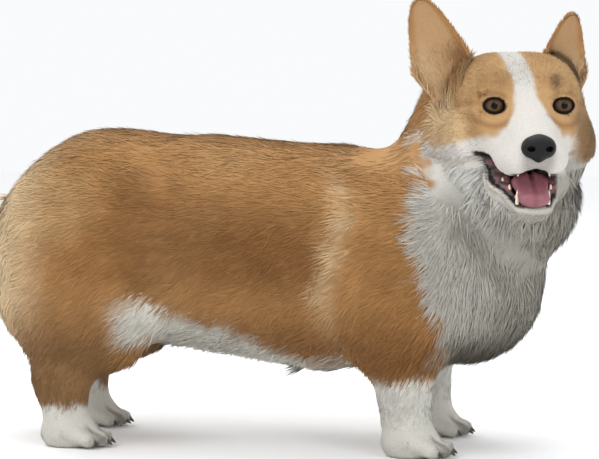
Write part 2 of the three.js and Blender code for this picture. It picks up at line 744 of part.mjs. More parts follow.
const dogGroup = new THREE.Group();
for (const [name, body] of nodes) {
  const [, look] = LOOKS.find(([pattern]) => pattern.test(name));
  const material = new THREE.MeshStandardMaterial({ ...look, metalness: 0 });
  const mesh = new THREE.Mesh(geometryOf(largest(body)), material);
  mesh.name = name;
  dogGroup.add(mesh);
}

// The origin is the middle of the footprint of the whole, on the floor
const bounds = new THREE.Box3().setFromObject(dogGroup);
const middle = bounds.getCenter(v3(0, 0, 0));
dogGroup.position.set(-middle.x, -middle.y, -bounds.min.z);
const group = new THREE.Group();
group.add(dogGroup);

export default group;
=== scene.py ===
"""A standing Pembroke Welsh corgi: skin, coat, eyes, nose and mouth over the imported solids.

The body is one smooth field of ellipsoids and tapered bones, in millimetres. The skin is the
surface of that field drawn in by the depth of the coat, and the tufts of the coat grow from it.
"""

import math

import bpy
import numpy as np
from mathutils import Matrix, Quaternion, Vector


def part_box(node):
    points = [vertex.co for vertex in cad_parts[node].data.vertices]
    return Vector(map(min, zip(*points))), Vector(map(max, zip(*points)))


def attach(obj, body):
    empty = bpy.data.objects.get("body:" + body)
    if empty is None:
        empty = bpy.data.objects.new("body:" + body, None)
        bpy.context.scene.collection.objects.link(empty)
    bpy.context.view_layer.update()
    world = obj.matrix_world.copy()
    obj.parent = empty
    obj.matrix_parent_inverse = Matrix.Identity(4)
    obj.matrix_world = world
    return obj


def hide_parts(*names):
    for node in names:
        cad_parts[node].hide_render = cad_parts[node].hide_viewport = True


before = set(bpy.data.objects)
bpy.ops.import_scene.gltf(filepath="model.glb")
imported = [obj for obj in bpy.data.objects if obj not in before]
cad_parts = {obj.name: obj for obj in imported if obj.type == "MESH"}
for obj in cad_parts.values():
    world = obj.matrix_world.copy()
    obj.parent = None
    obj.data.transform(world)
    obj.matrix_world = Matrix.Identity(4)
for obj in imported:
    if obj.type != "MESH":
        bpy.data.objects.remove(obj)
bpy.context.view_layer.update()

# Driving dimensions, in millimetres, in the dog's own frame
WITHERS = 274
RUMP = 288
BELLY = 84
BRISKET = 66
RIB_HALF_WIDTH = 103
HIP_X = -156
SHOULDER_X = 138
STANCE = 64
LEFT_HIND_STEP = -18
EYES_AT = np.array([245.2, -99.0, 312.0])
HEAD_HEADING = -73
HEAD_PITCH = 3
NOSE_FORWARD = 58
EYE_RADIUS = 10.5
WORLD_TO_MM = 1000.0
SEED = 7

rng = np.random.default_rng(SEED)
MM = 0.001


# The head's own frame: forward along the muzzle, left, and up
def turn_matrix():
    turn = Quaternion((0, 0, 1), math.radians(HEAD_HEADING)) @ Quaternion(
        (0, 1, 0), math.radians(HEAD_PITCH)
    )
    return np.array(turn.to_matrix())


HEAD_TURN = turn_matrix()


def on_head(forward, left, up):
    return HEAD_TURN @ np.array([forward, left, up], float) + EYES_AT


def to_head(points):
    return (points - EYES_AT) @ HEAD_TURN


# Fields: distance from points (n, 3) to a form's surface, negative inside
def ellipsoid(centre, radii, turn=None):
    centre = np.array(centre, float)
    radii = np.array(radii, float)

    def field(p):
        q = p - centre
        if turn is not None:
            q = q @ turn
        near = np.linalg.norm(q / radii, axis=1)
        slope = np.linalg.norm(q / radii**2, axis=1)
        return np.where(slope < 1e-9, -radii.min(), near * (near - 1) / np.maximum(slope, 1e-9))

    return field


def bone(start, end, start_radius, end_radius, width=1.0, turn=None):
    start = np.array(start, float)
    run = np.array(end, float) - start

    def field(p):
        q = p - start
        share = np.clip(q @ run / (run @ run), 0, 1)
        q = q - share[:, None] * run
        if turn is not None:
            q = q @ turn
        q = q / np.array([1, width, 1])
        return np.linalg.norm(q, axis=1) - (start_radius + (end_radius - start_radius) * share)

    return field


def melt(reach, *forms):
    def field(p):
        d = forms[0](p)
        for form in forms[1:]:
            e = form(p)
            overlap = np.maximum(reach - np.abs(d - e), 0)
            d = np.minimum(d, e) - overlap**2 / (4 * reach)
        return d

    return field


def both(make):
    return [make(-1), make(1)]


MIRRORS = [np.array([1, side, 1]) for side in (-1, 1)]


def balls(centre, radii):
    return [ellipsoid(centre * mirror, radii) for mirror in MIRRORS]


trunk = melt(
    34,
    ellipsoid((62, 0, (WITHERS + BRISKET) / 2), (140, RIB_HALF_WIDTH, (WITHERS - BRISKET) / 2)),
    ellipsoid(
        (-50, 0, (WITHERS + BELLY) / 2 + 3),
        (126, RIB_HALF_WIDTH - 6, (WITHERS - BELLY) / 2 + 5),
    ),
    ellipsoid((-144, 0, RUMP - 96), (93, RIB_HALF_WIDTH - 13, 95)),
    ellipsoid((172, 0, 162), (68, 78, 82)),
    *balls((SHOULDER_X + 2, 56, 165), (58, 50, 88)),
    *balls((HIP_X - 2, 56, 166), (82, 50, 98)),
    *balls((HIP_X - 43, 38, 158), (38, 44, 66)),
)
neck = melt(
    30,
    bone((164, 0, 208), (198, -10, 288), 72, 62),
    ellipsoid((226, -8, 228), (60, 72, 62)),
    ellipsoid((192, 0, 154), (62, 74, 72)),
)


def hind_step(side):
    return LEFT_HIND_STEP if side > 0 else 0


def shank(side):
    step = hind_step(side)
    x, y = HIP_X + step, side * STANCE
    return melt(
        14,
        ellipsoid((HIP_X + 12 + step / 2, side * 62, 116), (46, 32, 48)),
        bone((x - 4, y, 112), (x - 20, y, 62), 34, 25, 0.9),
        bone((x - 20, y, 62), (x - 14, y, 16), 24.5, 21, 0.9),
    )


def forearm(side):
    y = side * STANCE
    return melt(
        14,
        ellipsoid((SHOULDER_X - 8, side * 66, 116), (40, 32, 46)),
        bone((SHOULDER_X - 6, y, 106), (SHOULDER_X + 2, y, 20), 33, 22, 0.9),
    )


TOES = (-1.5, -0.5, 0.5, 1.5)
TOE_SPACING = 0.27


def toe_reach(length, n):
    """How far a toe reaches from the heel: the two middle ones go furthest."""
    return length * (0.98 - 0.09 * abs(n) ** 1.6)


def paw(side, x, length, spread):
    y = side * STANCE
    forms = [ellipsoid((x + length * 0.3, y, 12), (length * 0.42, spread * 0.42, 18))]
    for n in TOES:
        start = (x + length * 0.3, y + n * spread * 0.2, 16)
        end = (x + toe_reach(length, n) - 13, y + n * spread * TOE_SPACING, 8)
        forms.append(bone(start, end, 9, 7.4))
    return melt(3, *forms)


def paw_sizes(side):
    """Heel, length and width of the hind and of the fore paw on one side."""
    return (HIP_X - 32 + hind_step(side), 67, 42), (SHOULDER_X - 14, 65, 46)


def hind_paw(side):
    return paw(side, *paw_sizes(side)[0])


def fore_paw(side):
    return paw(side, *paw_sizes(side)[1])


def skull_ball(place, radii):
    return ellipsoid(on_head(*place), radii, HEAD_TURN)


def skull_bone(start, end, r0, r1, width):
    return bone(on_head(*start), on_head(*end), r0, r1, width, HEAD_TURN)


def skull_balls(place, radii):
    return [skull_ball(place * mirror, radii) for mirror in MIRRORS]


def skull_bones(start, end, r0, r1, width):
    return [skull_bone(start * mirror, end * mirror, r0, r1, width) for mirror in MIRRORS]


skull = melt(
    16,
    skull_ball((-46, 0, -3), (58, 34, 39)),
    *skull_balls((-48, 21, -2), (58, 36, 41)),
    *skull_balls((-44, 38, -40), (40, 32, 38)),
    *skull_balls((-4, 25, 8), (15, 14, 10)),
    *skull_balls((0, 29, -23), (22, 16, 15)),
)
snout = melt(
    8,
    skull_bone((-14, 0, -16), (NOSE_FORWARD - 16, 0, -36), 29, 19, 1.08),
    *skull_balls((30, 15, -46), (27, 15, 15)),
    *skull_bones((26, 16, -45), (-14, 30, -36), 13, 12, 1),
)
head = melt(14, skull, snout)
body = melt(26, trunk, neck, *both(shank), *both(forearm))
dog = melt(8, melt(16, body, head), *both(hind_paw), *both(fore_paw))

jaw = melt(
    10,
    *skull_bones((-30, 33, -54), (10, 24, -73), 15, 12.5, 1),
    *skull_bones((10, 24, -73), (34, 8, -92), 12.5, 10, 1),
    skull_bone((-30, 0, -74), (37, 0, -93.5), 15, 9.5, 1.3),
)


def smooth(x, low, high):
    t = np.clip((x - low) / (high - low), 0, 1)
    return t * t * (3 - 2 * t)


def cut(field, *hollows):
    def carved(p):
        d = field(p)
        for hollow in hollows:
            d = np.maximum(d, -hollow(p))
        return d

    return carved


def below(x, full, none):
    """1 up to the first height, fading to 0 at the second."""
    return smooth(-x, -none, -full)


# Lips, as heights along the muzzle; they part on the dog's right and in front
LIPS_MEET = 22
MOUTH_CORNER = -1
UPPER_LIP_U = [-1, 12, 26, 34, 43, 70]
UPPER_LIP_W = [-43.7, -44.6, -55.7, -61.2, -58.5, -57.5]
LOWER_LIP_U = [-1, 3, 14, 25, 31, 39, 70]
LOWER_LIP_W = [-44.5, -53.2, -63, -71.2, -78.2, -84.8, -90]
JAW_HALF_U = [-1, 4, 14, 20, 25, 32, 40, 46]
JAW_HALF_WIDTH = [44, 36, 35, 33.5, 28.5, 20, 14.5, 4]


def upper_lip(u):
    return np.interp(u, UPPER_LIP_U, UPPER_LIP_W)


def lower_lip(u):
    return np.interp(u, LOWER_LIP_U, LOWER_LIP_W)


def gape(p):
    """The open mouth, as a hollow: how far inside it a point is."""
    q = to_head(p)
    u, w = q[:, 0], q[:, 2]
    open_height = np.minimum(upper_lip(u) - w, w - lower_lip(u))
    return np.minimum(open_height, np.minimum(u - MOUTH_CORNER, LIPS_MEET - q[:, 1]))


# The foot of each ear and the way it runs, on the head
EAR_ROOTS = [
    (np.array([-46.0, -54.0, 4.0]), np.array([-0.1, -0.32, 0.94])),
    (np.array([-46.0, 43.0, 6.0]), np.array([-0.1, 0.15, 0.98])),
]


# Regions of the coat, as soft weights from 0 to 1, with places on the head
def regions(p):
    q = to_head(p)
    u, v, w = q[:, 0], np.abs(q[:, 1]), q[:, 2]
    near_head = 1 - smooth(np.minimum(head(p), jaw(p)), 3, 16)
    front_of_head = smooth(u, -88, -60)
    chin = smooth(lower_lip(u) - w, 2, 8)
    face = near_head * front_of_head * (1 - chin)
    x, y, z = p[:, 0], p[:, 1], p[:, 2]
    legs = 1 - smooth(z, 58, 96)
    legs = legs * np.where(x > 40, smooth(np.abs(y), 18, 40), 1.0)
    paws = 1 - smooth(z, 26, 40)
    ruff = smooth(x, 150, 190) * (1 - legs) * (1 - face)
    belly = below(z, 88, 118) * smooth(x, -116, -94) * (1 - smooth(x, 84, 104))
    rear = below(x, -228, -196) * (1 - legs)
    muzzle = face * smooth(u, 2, 22)
    ear_root = np.zeros(len(p))
    for place, _ in EAR_ROOTS:
        gap = np.linalg.norm((q - place) / np.array([1.0, 1.0, 1.3]), axis=1)
        ear_root = np.maximum(ear_root, below(gap, 16, 32) * near_head)
    return {
        "u": u, "v": v, "w": w, "side": q[:, 1],
        "face": face, "muzzle": muzzle, "ear_root": ear_root,
        "legs": legs, "paws": paws, "ruff": ruff, "belly": belly * (1 - paws), "rear": rear,
    }


def mix_by(r, base, **parts):
    """A value that is base on the trunk and changes by region."""
    value = np.full(len(r["face"]), float(base))
    for name, amount in parts.items():
        value = value + (amount - value) * r[name]
    return value


CHEEK_EXTRA = 9
EAR_ROOT_EXTRA = 7


def coat_depth(r):
    return mix_by(r, 2.8, rear=4, ruff=4.2, belly=4.8, legs=1.8, paws=0.8, face=1.1, muzzle=0.5)


def hair_length(r):
    length = mix_by(r, 17, rear=21, ruff=22, belly=26, legs=9, paws=4.5, face=7.5, muzzle=3)
    cheek = r["face"] * below(r["u"], -60, -20) * smooth(r["v"], 30, 60)
    return length + CHEEK_EXTRA * cheek + EAR_ROOT_EXTRA * r["ear_root"]


# Skin: a grid of the field, evaluated finely only near the surface, then surface nets
NEAR_BLOCKS = 2.2
POINTS_AT_ONCE = 400000


def extract(field, low, high, step, block=4):
    counts = [int(math.ceil((h - l) / step / block)) * block + 1 for l, h in zip(low, high)]
    axes = [l + step * np.arange(n) for l, n in zip(low, counts)]
    coarse_axes = [a[::block] for a in axes]
    mesh = np.stack(np.meshgrid(*coarse_axes, indexing="ij"), -1)
    shape = mesh.shape[:3]
    coarse = field(mesh.reshape(-1, 3)).reshape(shape)
    close = np.abs(coarse) < step * block * NEAR_BLOCKS
    values = np.empty(counts, np.float32)
    index = [np.minimum((np.arange(n) + block // 2) // block, s - 1) for n, s in zip(counts, shape)]
    grid = np.ix_(*index)
    values[:] = coarse[grid]
    at = np.argwhere(close[grid])
    for start in range(0, len(at), POINTS_AT_ONCE):
        part = at[start : start + POINTS_AT_ONCE]
        places = np.stack([axes[k][part[:, k]] for k in range(3)], -1)
        values[part[:, 0], part[:, 1], part[:, 2]] = field(places)
    return surface_nets(values, np.array(low, float), step)


CORNERS = [(i, j, k) for i in (0, 1) for j in (0, 1) for k in (0, 1)]


def surface_nets(values, low, step):
    """One point in each cell that the surface crosses, and a quad across each crossed edge."""
    inside = values < 0
    size = np.array(values.shape) - 1
    total = np.zeros((*size, 3), np.float32)
    count = np.zeros(size, np.float32)
    for corner in CORNERS:
        for axis in range(3):
            if corner[axis]:
                continue
            other = list(corner)
            other[axis] = 1
            first = tuple(slice(c, c + s) for c, s in zip(corner, size))
            second = tuple(slice(c, c + s) for c, s in zip(other, size))
            crossing = inside[first] != inside[second]
            va, vb = values[first][crossing], values[second][crossing]
            share = va / (va - vb)
            place = np.tile(np.array(corner, np.float32), (len(share), 1))
            place[:, axis] += share
            total[crossing] += place
            count[crossing] += 1
    used = count > 0
    ids = np.full(size, -1, np.int64)
    ids[used] = np.arange(used.sum())
    cells = np.argwhere(used)
    points = low + step * (cells + total[used] / count[used][:, None])
    quads = []
    for axis in range(3):
        b, c = (axis + 1) % 3, (axis + 2) % 3
        first = [slice(1, -1)] * 3
        second = [slice(1, -1)] * 3
        first[axis] = slice(0, -1)
        second[axis] = slice(1, None)
        first, second = tuple(first), tuple(second)
        crossing = inside[first] != inside[second]
        where = np.argwhere(crossing)
        where[:, b] += 1
        where[:, c] += 1
        goes_out = inside[first][crossing]
        around = []
        for db, dc in ((0, 0), (1, 0), (1, 1), (0, 1)):
            cell = where.copy()
            cell[:, b] -= db
            cell[:, c] -= dc
            around.append(ids[cell[:, 0], cell[:, 1], cell[:, 2]])
        quad = np.stack(around, -1)
        quad[~goes_out] = quad[~goes_out][:, ::-1]
        quads.append(quad)
    return points, np.concatenate(quads)


def smoothed(points, quads, rounds=1):
    """Evens the skin out: each point moves half way to the mean of its neighbours."""
    edges = np.concatenate([quads[:, [i, (i + 1) % 4]] for i in range(4)])
    for _ in range(rounds):
        total = np.zeros_like(points)
        count = np.zeros(len(points))
        for a, b in ((0, 1), (1, 0)):
            for k in range(3):
                total[:, k] += np.bincount(edges[:, a], points[edges[:, b], k], len(points))
            count += np.bincount(edges[:, a], minlength=len(points))
        points = points * 0.5 + 0.5 * total / np.maximum(count, 1)[:, None]
    return points


# Places: the CAD's origin is the middle of the dog's box, so the shift comes from an eye
RAY_STEP = 0.25


def ray_to_skin(field, start, direction, reach=150.0):
    steps = np.arange(0, reach, RAY_STEP)
    places = np.array(start) + steps[:, None] * np.array(direction)
    return steps[np.argmax(field(places) > 0)]


EYE_SPREAD = 29.5
EYE_HEIGHT = -3
EYE_SINK = 7.4
WELL_INSIDE = -60


def eye_centre(side):
    behind = on_head(WELL_INSIDE, side * EYE_SPREAD, EYE_HEIGHT)
    reach = ray_to_skin(head, behind, HEAD_TURN @ np.array([1.0, 0, 0])) + WELL_INSIDE
    return on_head(reach - EYE_SINK, side * EYE_SPREAD, EYE_HEIGHT)


EYES = {"right": eye_centre(-1), "left": eye_centre(1)}
box_low, box_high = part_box("eye_right")
SHIFT = (np.array(box_low) + np.array(box_high)) / 2 * WORLD_TO_MM - EYES["right"]
SHIFT[2] = 0.0


def to_world(p):
    return (p + SHIFT) * MM


# Colours
def srgb(r, g, b):
    c = np.array([r, g, b], float) / 255
    return np.where(c <= 0.04045, c / 12.92, ((c + 0.055) / 1.055) ** 2.4)


RED = srgb(177, 131, 82)
DEEP_RED = srgb(150, 106, 62)
DARK_RED = srgb(118, 78, 43)
GROIN_SHADE_BROWN = srgb(108, 76, 46)
HOCK_BROWN = srgb(112, 84, 56)
PALE = srgb(196, 155, 106)
CREAM = srgb(218, 192, 152)
RUMP_CREAM = srgb(228, 202, 162)
WHITE = srgb(216, 214, 207)
BELLY_WHITE = srgb(204, 201, 190)
FOOT_WHITE = srgb(204, 202, 193)
MUZZLE_WHITE = srgb(214, 210, 203)
# Greyed, dimmed and darkest whites: painted shade on white fur
SHADED_GREY_WHITE = srgb(168, 165, 154)
SHADED_DIM_WHITE = srgb(124, 119, 107)
CHEST_SHADE = srgb(78, 73, 62)
TOE_SHADE = srgb(112, 106, 96)
FAWN = srgb(188, 150, 104)
FACE_BROWN = srgb(160, 118, 76)
BROW = srgb(84, 62, 46)
LASHES = srgb(120, 84, 54)
UNDER_EYE = srgb(134, 92, 56)
EYE_CORNER = srgb(142, 98, 60)
TEMPLE = srgb(150, 102, 62)
FAR_CHEEK_SHADE = srgb(112, 86, 60)
UNDER_NOSE = srgb(112, 106, 102)
LIP = srgb(34, 30, 31)
LIP_EDGE = srgb(24, 20, 21)
MOUTH_SHADE = srgb(44, 28, 30)
GUM = srgb(158, 92, 102)
TONGUE_PINK = srgb(140, 82, 92)
TONGUE_GROOVE_SHADE = srgb(112, 62, 72)
TONGUE_ROOT_SHADE = srgb(96, 50, 60)
TOOTH = srgb(232, 222, 200)
CLAW = srgb(58, 48, 42)
NOSE_BLACK = srgb(16, 16, 18)
NOSE_TOP_LIGHT = srgb(44, 42, 43)
EAR_TAN = srgb(160, 117, 73)
EAR_INSIDE = srgb(172, 138, 100)
EAR_FOLD_SHADE = srgb(112, 74, 44)
EAR_PALE = srgb(204, 174, 136)
EYE_DARK = srgb(30, 23, 21)
IRIS_EDGE = srgb(60, 44, 31)
IRIS = srgb(88, 67, 46)
IRIS_SHADE = srgb(34, 26, 21)
PUPIL = srgb(5, 4, 4)
LID_RIM = srgb(14, 11, 11)

# The lights are bright, so the coat is painted a little darker than it should look
COAT_TONE = 0.86


# Markings and painted shade: each line paints one mark, softly, over those before it
def wobble(p, scale):
    """Smooth waves from -1 to 1, about as long as scale, for ragged and mottled edges."""
    q = p / scale
    return (
        np.sin(q[:, 0] * 1.7 + np.sin(q[:, 2] * 1.3) * 1.4)
        + np.sin(q[:, 1] * 1.9 + np.sin(q[:, 0] * 1.1) * 1.2)
        + np.sin(q[:, 2] * 2.1 + np.sin(q[:, 1] * 1.5) * 1.3)
    ) / 3


def paint(colour, towards, amount):
    return colour + (towards - colour) * np.clip(amount, 0, 1)[:, None]


def oval(a, b, centre, stretch, full, none):
    """A patch that is stretched along a: 1 within full of its centre, 0 beyond none."""
    return below(np.hypot((a - centre[0]) / stretch, b - centre[1]), full, none)


def ring(a, b, centre, stretch, radius, soft):
    """A soft oval line around a centre."""
    return below(np.abs(np.hypot((a - centre[0]) / stretch, b - centre[1]) - radius), 0, soft)


def between(a, rise, fall):
    """1 from the end of the rise to the start of the fall."""
    return smooth(a, *rise) * below(a, *fall)


def body_colours(p):
    """Red back and sides, darker along the middle, cream rump and a cream band on the shoulder."""
    x, z = p[:, 0], p[:, 2]
    c = np.tile(RED, (len(p), 1))
    c = paint(c, PALE, 0.5 * smooth(wobble(p + 90, 40), 0.1, 0.9))
    c = paint(c, DEEP_RED, 0.5 * smooth(wobble(p, 30), 0.0, 0.9))
    saddle = smooth(x, -150, -60) * (1 - smooth(x, 60, 100))
    c = paint(c, DARK_RED, 0.75 * saddle * below(np.abs(z - 186 + 0.1 * x), 8, 62))
    c = paint(c, DARK_RED, 0.45 * below(z, 100, 150) * (1 - below(x, -120, -40)))
    # Painted shade in the crease in front of the thigh
    groin_shade = below(np.abs(x + 90 + 0.16 * (z - 195)), 3, 30)
    c = paint(c, GROIN_SHADE_BROWN, 0.6 * groin_shade * between(z, (118, 150), (225, 268)))
    c = paint(c, DEEP_RED, 0.55 * oval(x, z, (-130, 190), 1.2, 20, 70))
    c = paint(c, HOCK_BROWN, 0.75 * below(z, 84, 166) * below(x, -130, -96))
    c = paint(c, DARK_RED, 0.5 * oval(x, z, (128, 96), 0.9, 14, 58))
    c = paint(c, CREAM, 0.45 * oval(x, z, (-205, 252), 1.3, 6, 46))
    c = paint(c, FAWN, 0.8 * oval(x, z, (-172, 222), 1.2, 14, 52))
    c = paint(c, RUMP_CREAM, 0.9 * below(x, -224, -158) * smooth(z, 90, 150))
    c = paint(c, DEEP_RED, 0.55 * oval(z, x, (165, 145), 1.4, 15, 55))
    ripple = 7 * np.sin(z / 27) + 6 * wobble(p, 14)
    band = below(np.abs(x - 82 - ripple), 1, 17) * between(z, (92, 150), (225, 272))
    return paint(c, CREAM, (0.45 + 0.25 * wobble(p, 11)) * band)


# The front edge of the red coat, by height, and the rise of the belly's white towards the rear
COLLAR_Z = [60, 90, 120, 160, 200, 222, 236, 262, 285, 310]
COLLAR_X = [178, 174, 179, 161, 150, 152, 160, 149, 147, 186]
BELLY_SLOPE = 0.31
TOE_GAP = 5.6


def white_parts(p, r, c):
    """The white belly, chest, collar and feet, with painted shade low on the chest, in its fold, on
    its lower front and between the toes.
    """
    x, y, z = p[:, 0], p[:, 1], p[:, 2]
    ragged = wobble(p, 9) + 0.5 * wobble(p + 30, 3.5)
    belly_line = 143 - BELLY_SLOPE * (x + 115) + 6 * ragged
    belly = smooth(belly_line - z, -6, 9) * smooth(x, -122, -100) * (1 - smooth(x, 92, 108))
    belly = belly * (1 - (1 - smooth(z, 94, 110)) * (1 - smooth(x, -98, -80)))
    c = paint(c, BELLY_WHITE, belly)
    chest = smooth(x - np.interp(z, COLLAR_Z, COLLAR_X) + 7 * ragged, -5, 9)
    nape = smooth(z, 276, 296) * below(r["u"], -62, -40)
    chest = chest * (1 - nape) * (1 - r["face"])
    c = paint(c, WHITE, chest)
    # Painted shade: the chest greyer lower down, under the head
    c = paint(c, SHADED_GREY_WHITE, 0.8 * chest * below(z, 205, 262))
    # Painted shade in the fold where the ruff lies over the chest
    fold_shade = below(np.abs(x - 184 - 0.82 * (213 - z)), 2, 13) * between(z, (150, 172), (212, 236))
    c = paint(c, SHADED_DIM_WHITE, 0.55 * chest * fold_shade * (y < -30))
    # Painted shade on the lower front of the chest
    c = paint(c, SHADED_DIM_WHITE, 0.6 * chest * smooth(x - 0.3 * z, 150, 200))
    c = paint(c, CHEST_SHADE, 0.95 * chest * below(z, 94, 138) * (x > 100))
    inner_side = below(np.abs(y), 40, 60)
    c = paint(c, FOOT_WHITE, below(z - 4 * ragged, 62, 78) * (x > 40))
    c = paint(c, FOOT_WHITE, below(z - 4 * ragged - 26 * inner_side, 30, 44) * (x < 0))
    toe_lines = np.abs(np.abs(np.abs(y) - STANCE) - TOE_GAP) - TOE_GAP
    toes = below(np.abs(toe_lines), 0.5, 2.4) * below(z, 16, 24)
    step = np.where(y > 0, LEFT_HIND_STEP, 0)
    ahead = np.where(x > 0, x - SHOULDER_X - 14, x - HIP_X + 4 - step)
    return paint(c, TOE_SHADE, 0.75 * toes * smooth(ahead, 0, 14))


# The blaze leans to the dog's right towards the top, by height above the eyes' line
BLAZE_LEAN_W = [-20, 0, 45]
BLAZE_LEAN = [0, -1.5, -9]
BLAZE_HALF_W = [-40, -24, -10, 4, 24, 40]
BLAZE_HALF = [38, 24, 15, 9.5, 9, 8]


def face_colours(p, r):
    """Fawn mask, white blaze and muzzle, dark marks round the eyes, and painted shade on the far
    side of the face, under the lower lip and under the nose.
    """
    u, v, w, side = r["u"], r["v"], r["w"], r["side"]
    c = np.tile(FAWN, (len(p), 1))
    c = paint(c, FACE_BROWN, 0.4 * smooth(wobble(p + 40, 13), 0.0, 0.8))
    c = paint(c, CREAM, 0.5 * smooth(v, 40, 60) * below(w, -20, 14) * (side < 0))
    brow = below(np.hypot((v - 23) / 5, (w - 15) / 7), 0.2, 1.5) * smooth(u, -22, -8)
    c = paint(c, BROW, (0.12 + 0.6 * (side > 0)) * brow)
    c = paint(c, LASHES, 0.55 * ring(v, w, (30, -3), 1.25, 10.5, 3) * smooth(w, 0, 6))
    c = paint(c, UNDER_EYE, 0.6 * ring(v, w, (31, -3), 1.1, 16.5, 4.5) * below(w, -13, -4))
    corner = np.hypot((v - 50) / 13, (w + 3 + 0.25 * (v - 50)) / 3.4)
    c = paint(c, EYE_CORNER, 0.55 * below(corner, 0.3, 1.3))
    c = paint(c, TEMPLE, 0.6 * below(np.hypot((v - 58) / 8, (w - 6) / 12), 0.2, 1.3))
    far_side = smooth(side, 30, 52)
    # Painted shade: the far side of the face, turned from the light, darker brown
    c = paint(c, FAR_CHEEK_SHADE, 0.75 * far_side * below(w, -22, 6))
    lean = np.interp(w, BLAZE_LEAN_W, BLAZE_LEAN)
    half = np.interp(w, BLAZE_HALF_W, BLAZE_HALF)
    blaze = smooth(half - np.abs(side - lean) + 1.8 * wobble(p, 4), -2.5, 2.5)
    blaze = blaze * below(w, 38, 46)
    muzzle = smooth(-w - 22 - 0.3 * np.maximum(v - 15, 0) + 3 * wobble(p, 5), -3, 4)
    muzzle = muzzle * smooth(u, -26, -8) * (1 - far_side)
    cheek_edge = -37 - 26 * smooth(side, 34, 50)
    low_cheek = smooth(cheek_edge - w + 4 * wobble(p, 6), -5, 6)
    c = paint(c, MUZZLE_WHITE, np.maximum(np.maximum(blaze, muzzle), low_cheek))
    # Painted shade below the lower lip, under the jaw
    c = paint(c, SHADED_GREY_WHITE, 0.5 * smooth(lower_lip(u) - w, -2, 5) * smooth(u, -10, 4))
    # Painted shade low on the far side of the jaw
    c = paint(c, SHADED_DIM_WHITE, 0.6 * smooth(side, 14, 26) * below(w, -64, -54))
    # Greyer round the nose: the dark whisker skin of the upper lip, with painted shade under the
    # nose pad
    to_nose = np.sqrt((u - NOSE_FORWARD + 4) ** 2 + v**2 + (w + 46) ** 2)
    return paint(c, UNDER_NOSE, 0.55 * below(to_nose, 9, 19))


def almond(p, centre, half_width, half_height):
    """How far out of the eye's opening a point is, 1 on its edge, and its place from the centre."""
    q = (p - centre) @ HEAD_TURN
    return np.hypot(q[:, 1] / half_width, q[:, 2] / half_height), q


def mouth_masks(r):
    """Where the skin is the inside of the mouth, and where it is lip."""
    u, v, w, side = r["u"], r["v"], r["w"], r["side"]
    high, low = upper_lip(u), lower_lip(u)
    parted = 1 - smooth(side, LIPS_MEET - 2, LIPS_MEET + 1)
    under_roof = smooth(high + 0.4 - w, -1, 1)
    opening = smooth(u, -5, -1) * parted * r["face"]
    inside = under_roof * smooth(w - low - 0.4, -1, 1) * opening * (1 - smooth(v, 46, 54))
    jaw_side = np.interp(u, JAW_HALF_U, JAW_HALF_WIDTH) - v
    gum = smooth(jaw_side, 5, 7) * smooth(w - low + 4, -1, 1) * under_roof * opening
    thick = 1.8 + 1.2 * (1 - smooth(u, 4, 18))
    upper = smooth(thick - np.abs(w - high + 0.6), 0, 1.4) * (0.35 + 0.65 * parted)
    lower = smooth(thick - np.abs(w - low), 0, 1.4) * parted * below(jaw_side, 5, 7)
    lips = np.maximum(upper, lower) * smooth(u, -6, -2) * (1 - smooth(v, 50, 58)) * r["face"]
    return 0.9 * np.maximum(inside, gum), lips


def marks_and_shade(p, r):
    """The colour of the coat and skin at each point, painted shade included."""
    c = white_parts(p, r, body_colours(p))
    c = COAT_TONE * (c + (face_colours(p, r) - c) * r["face"][:, None])
    for centre in EYES.values():
        edge, q = almond(p, centre, 9.9, 7.1)
        on_lids = (np.linalg.norm(q, axis=1) < 22) * (q[:, 0] > 0)
        c = paint(c, LIP, below(edge, 0.96, 1.06) * on_lids)
    mouth, lips = mouth_masks(r)
    # Inside the mouth: painted shade, with pink gums mottled in low down and towards the front
    low_inside = smooth(lower_lip(r["u"]) + 9 - r["w"], -3, 3)
    gums = low_inside * (0.2 + 0.8 * smooth(r["u"], 2, 16))
    mottled = smooth(wobble(p, 2.4), 0.1 - 0.6 * gums, 0.5)
    c = paint(c, paint(np.tile(MOUTH_SHADE, (len(p), 1)), GUM, mottled), mouth)
    return np.clip(paint(c, LIP, lips), 0, 1)


# Materials
NOISE_DETAIL = 4
BUMP_HEIGHT = 0.0005


def new_material(name, roughness, sheen=0.0, specular=0.5):
    made = bpy.data.materials.new(name)
    made.use_nodes = True
    shader = made.node_tree.nodes["Principled BSDF"]
    shader.inputs["Roughness"].default_value = roughness
    shader.inputs["Sheen Weight"].default_value = sheen
    shader.inputs["Specular IOR Level"].default_value = specular
    return made, shader


def painted(name, roughness, noise_scale, noise_amount, bump=0.0, **others):
    """Colour from the painted attribute, varied by noise, with an optional fine bump."""
    made, shader = new_material(name, roughness, **others)
    nodes, links = made.node_tree.nodes, made.node_tree.links
    paint_node = nodes.new("ShaderNodeAttribute")
    paint_node.attribute_name = "Coat"
    place = nodes.new("ShaderNodeTexCoord")
    noise = nodes.new("ShaderNodeTexNoise")
    noise.inputs["Scale"].default_value = noise_scale
    noise.inputs["Detail"].default_value = NOISE_DETAIL
    links.new(place.outputs["Object"], noise.inputs["Vector"])
    vary = nodes.new("ShaderNodeMapRange")
    vary.inputs["To Min"].default_value = 1 - noise_amount
    vary.inputs["To Max"].default_value = 1 + noise_amount
    links.new(noise.outputs["Fac"], vary.inputs["Value"])
    scale = nodes.new("ShaderNodeVectorMath")
    scale.operation = "SCALE"
    links.new(paint_node.outputs["Color"], scale.inputs[0])
    links.new(vary.outputs["Result"], scale.inputs["Scale"])
    links.new(scale.outputs["Vector"], shader.inputs["Base Color"])
    if bump:
        raised = nodes.new("ShaderNodeBump")
        raised.inputs["Strength"].default_value = bump
        raised.inputs["Distance"].default_value = BUMP_HEIGHT
        links.new(noise.outputs["Fac"], raised.inputs["Height"])
        links.new(raised.outputs["Normal"], shader.inputs["Normal"])
    return made


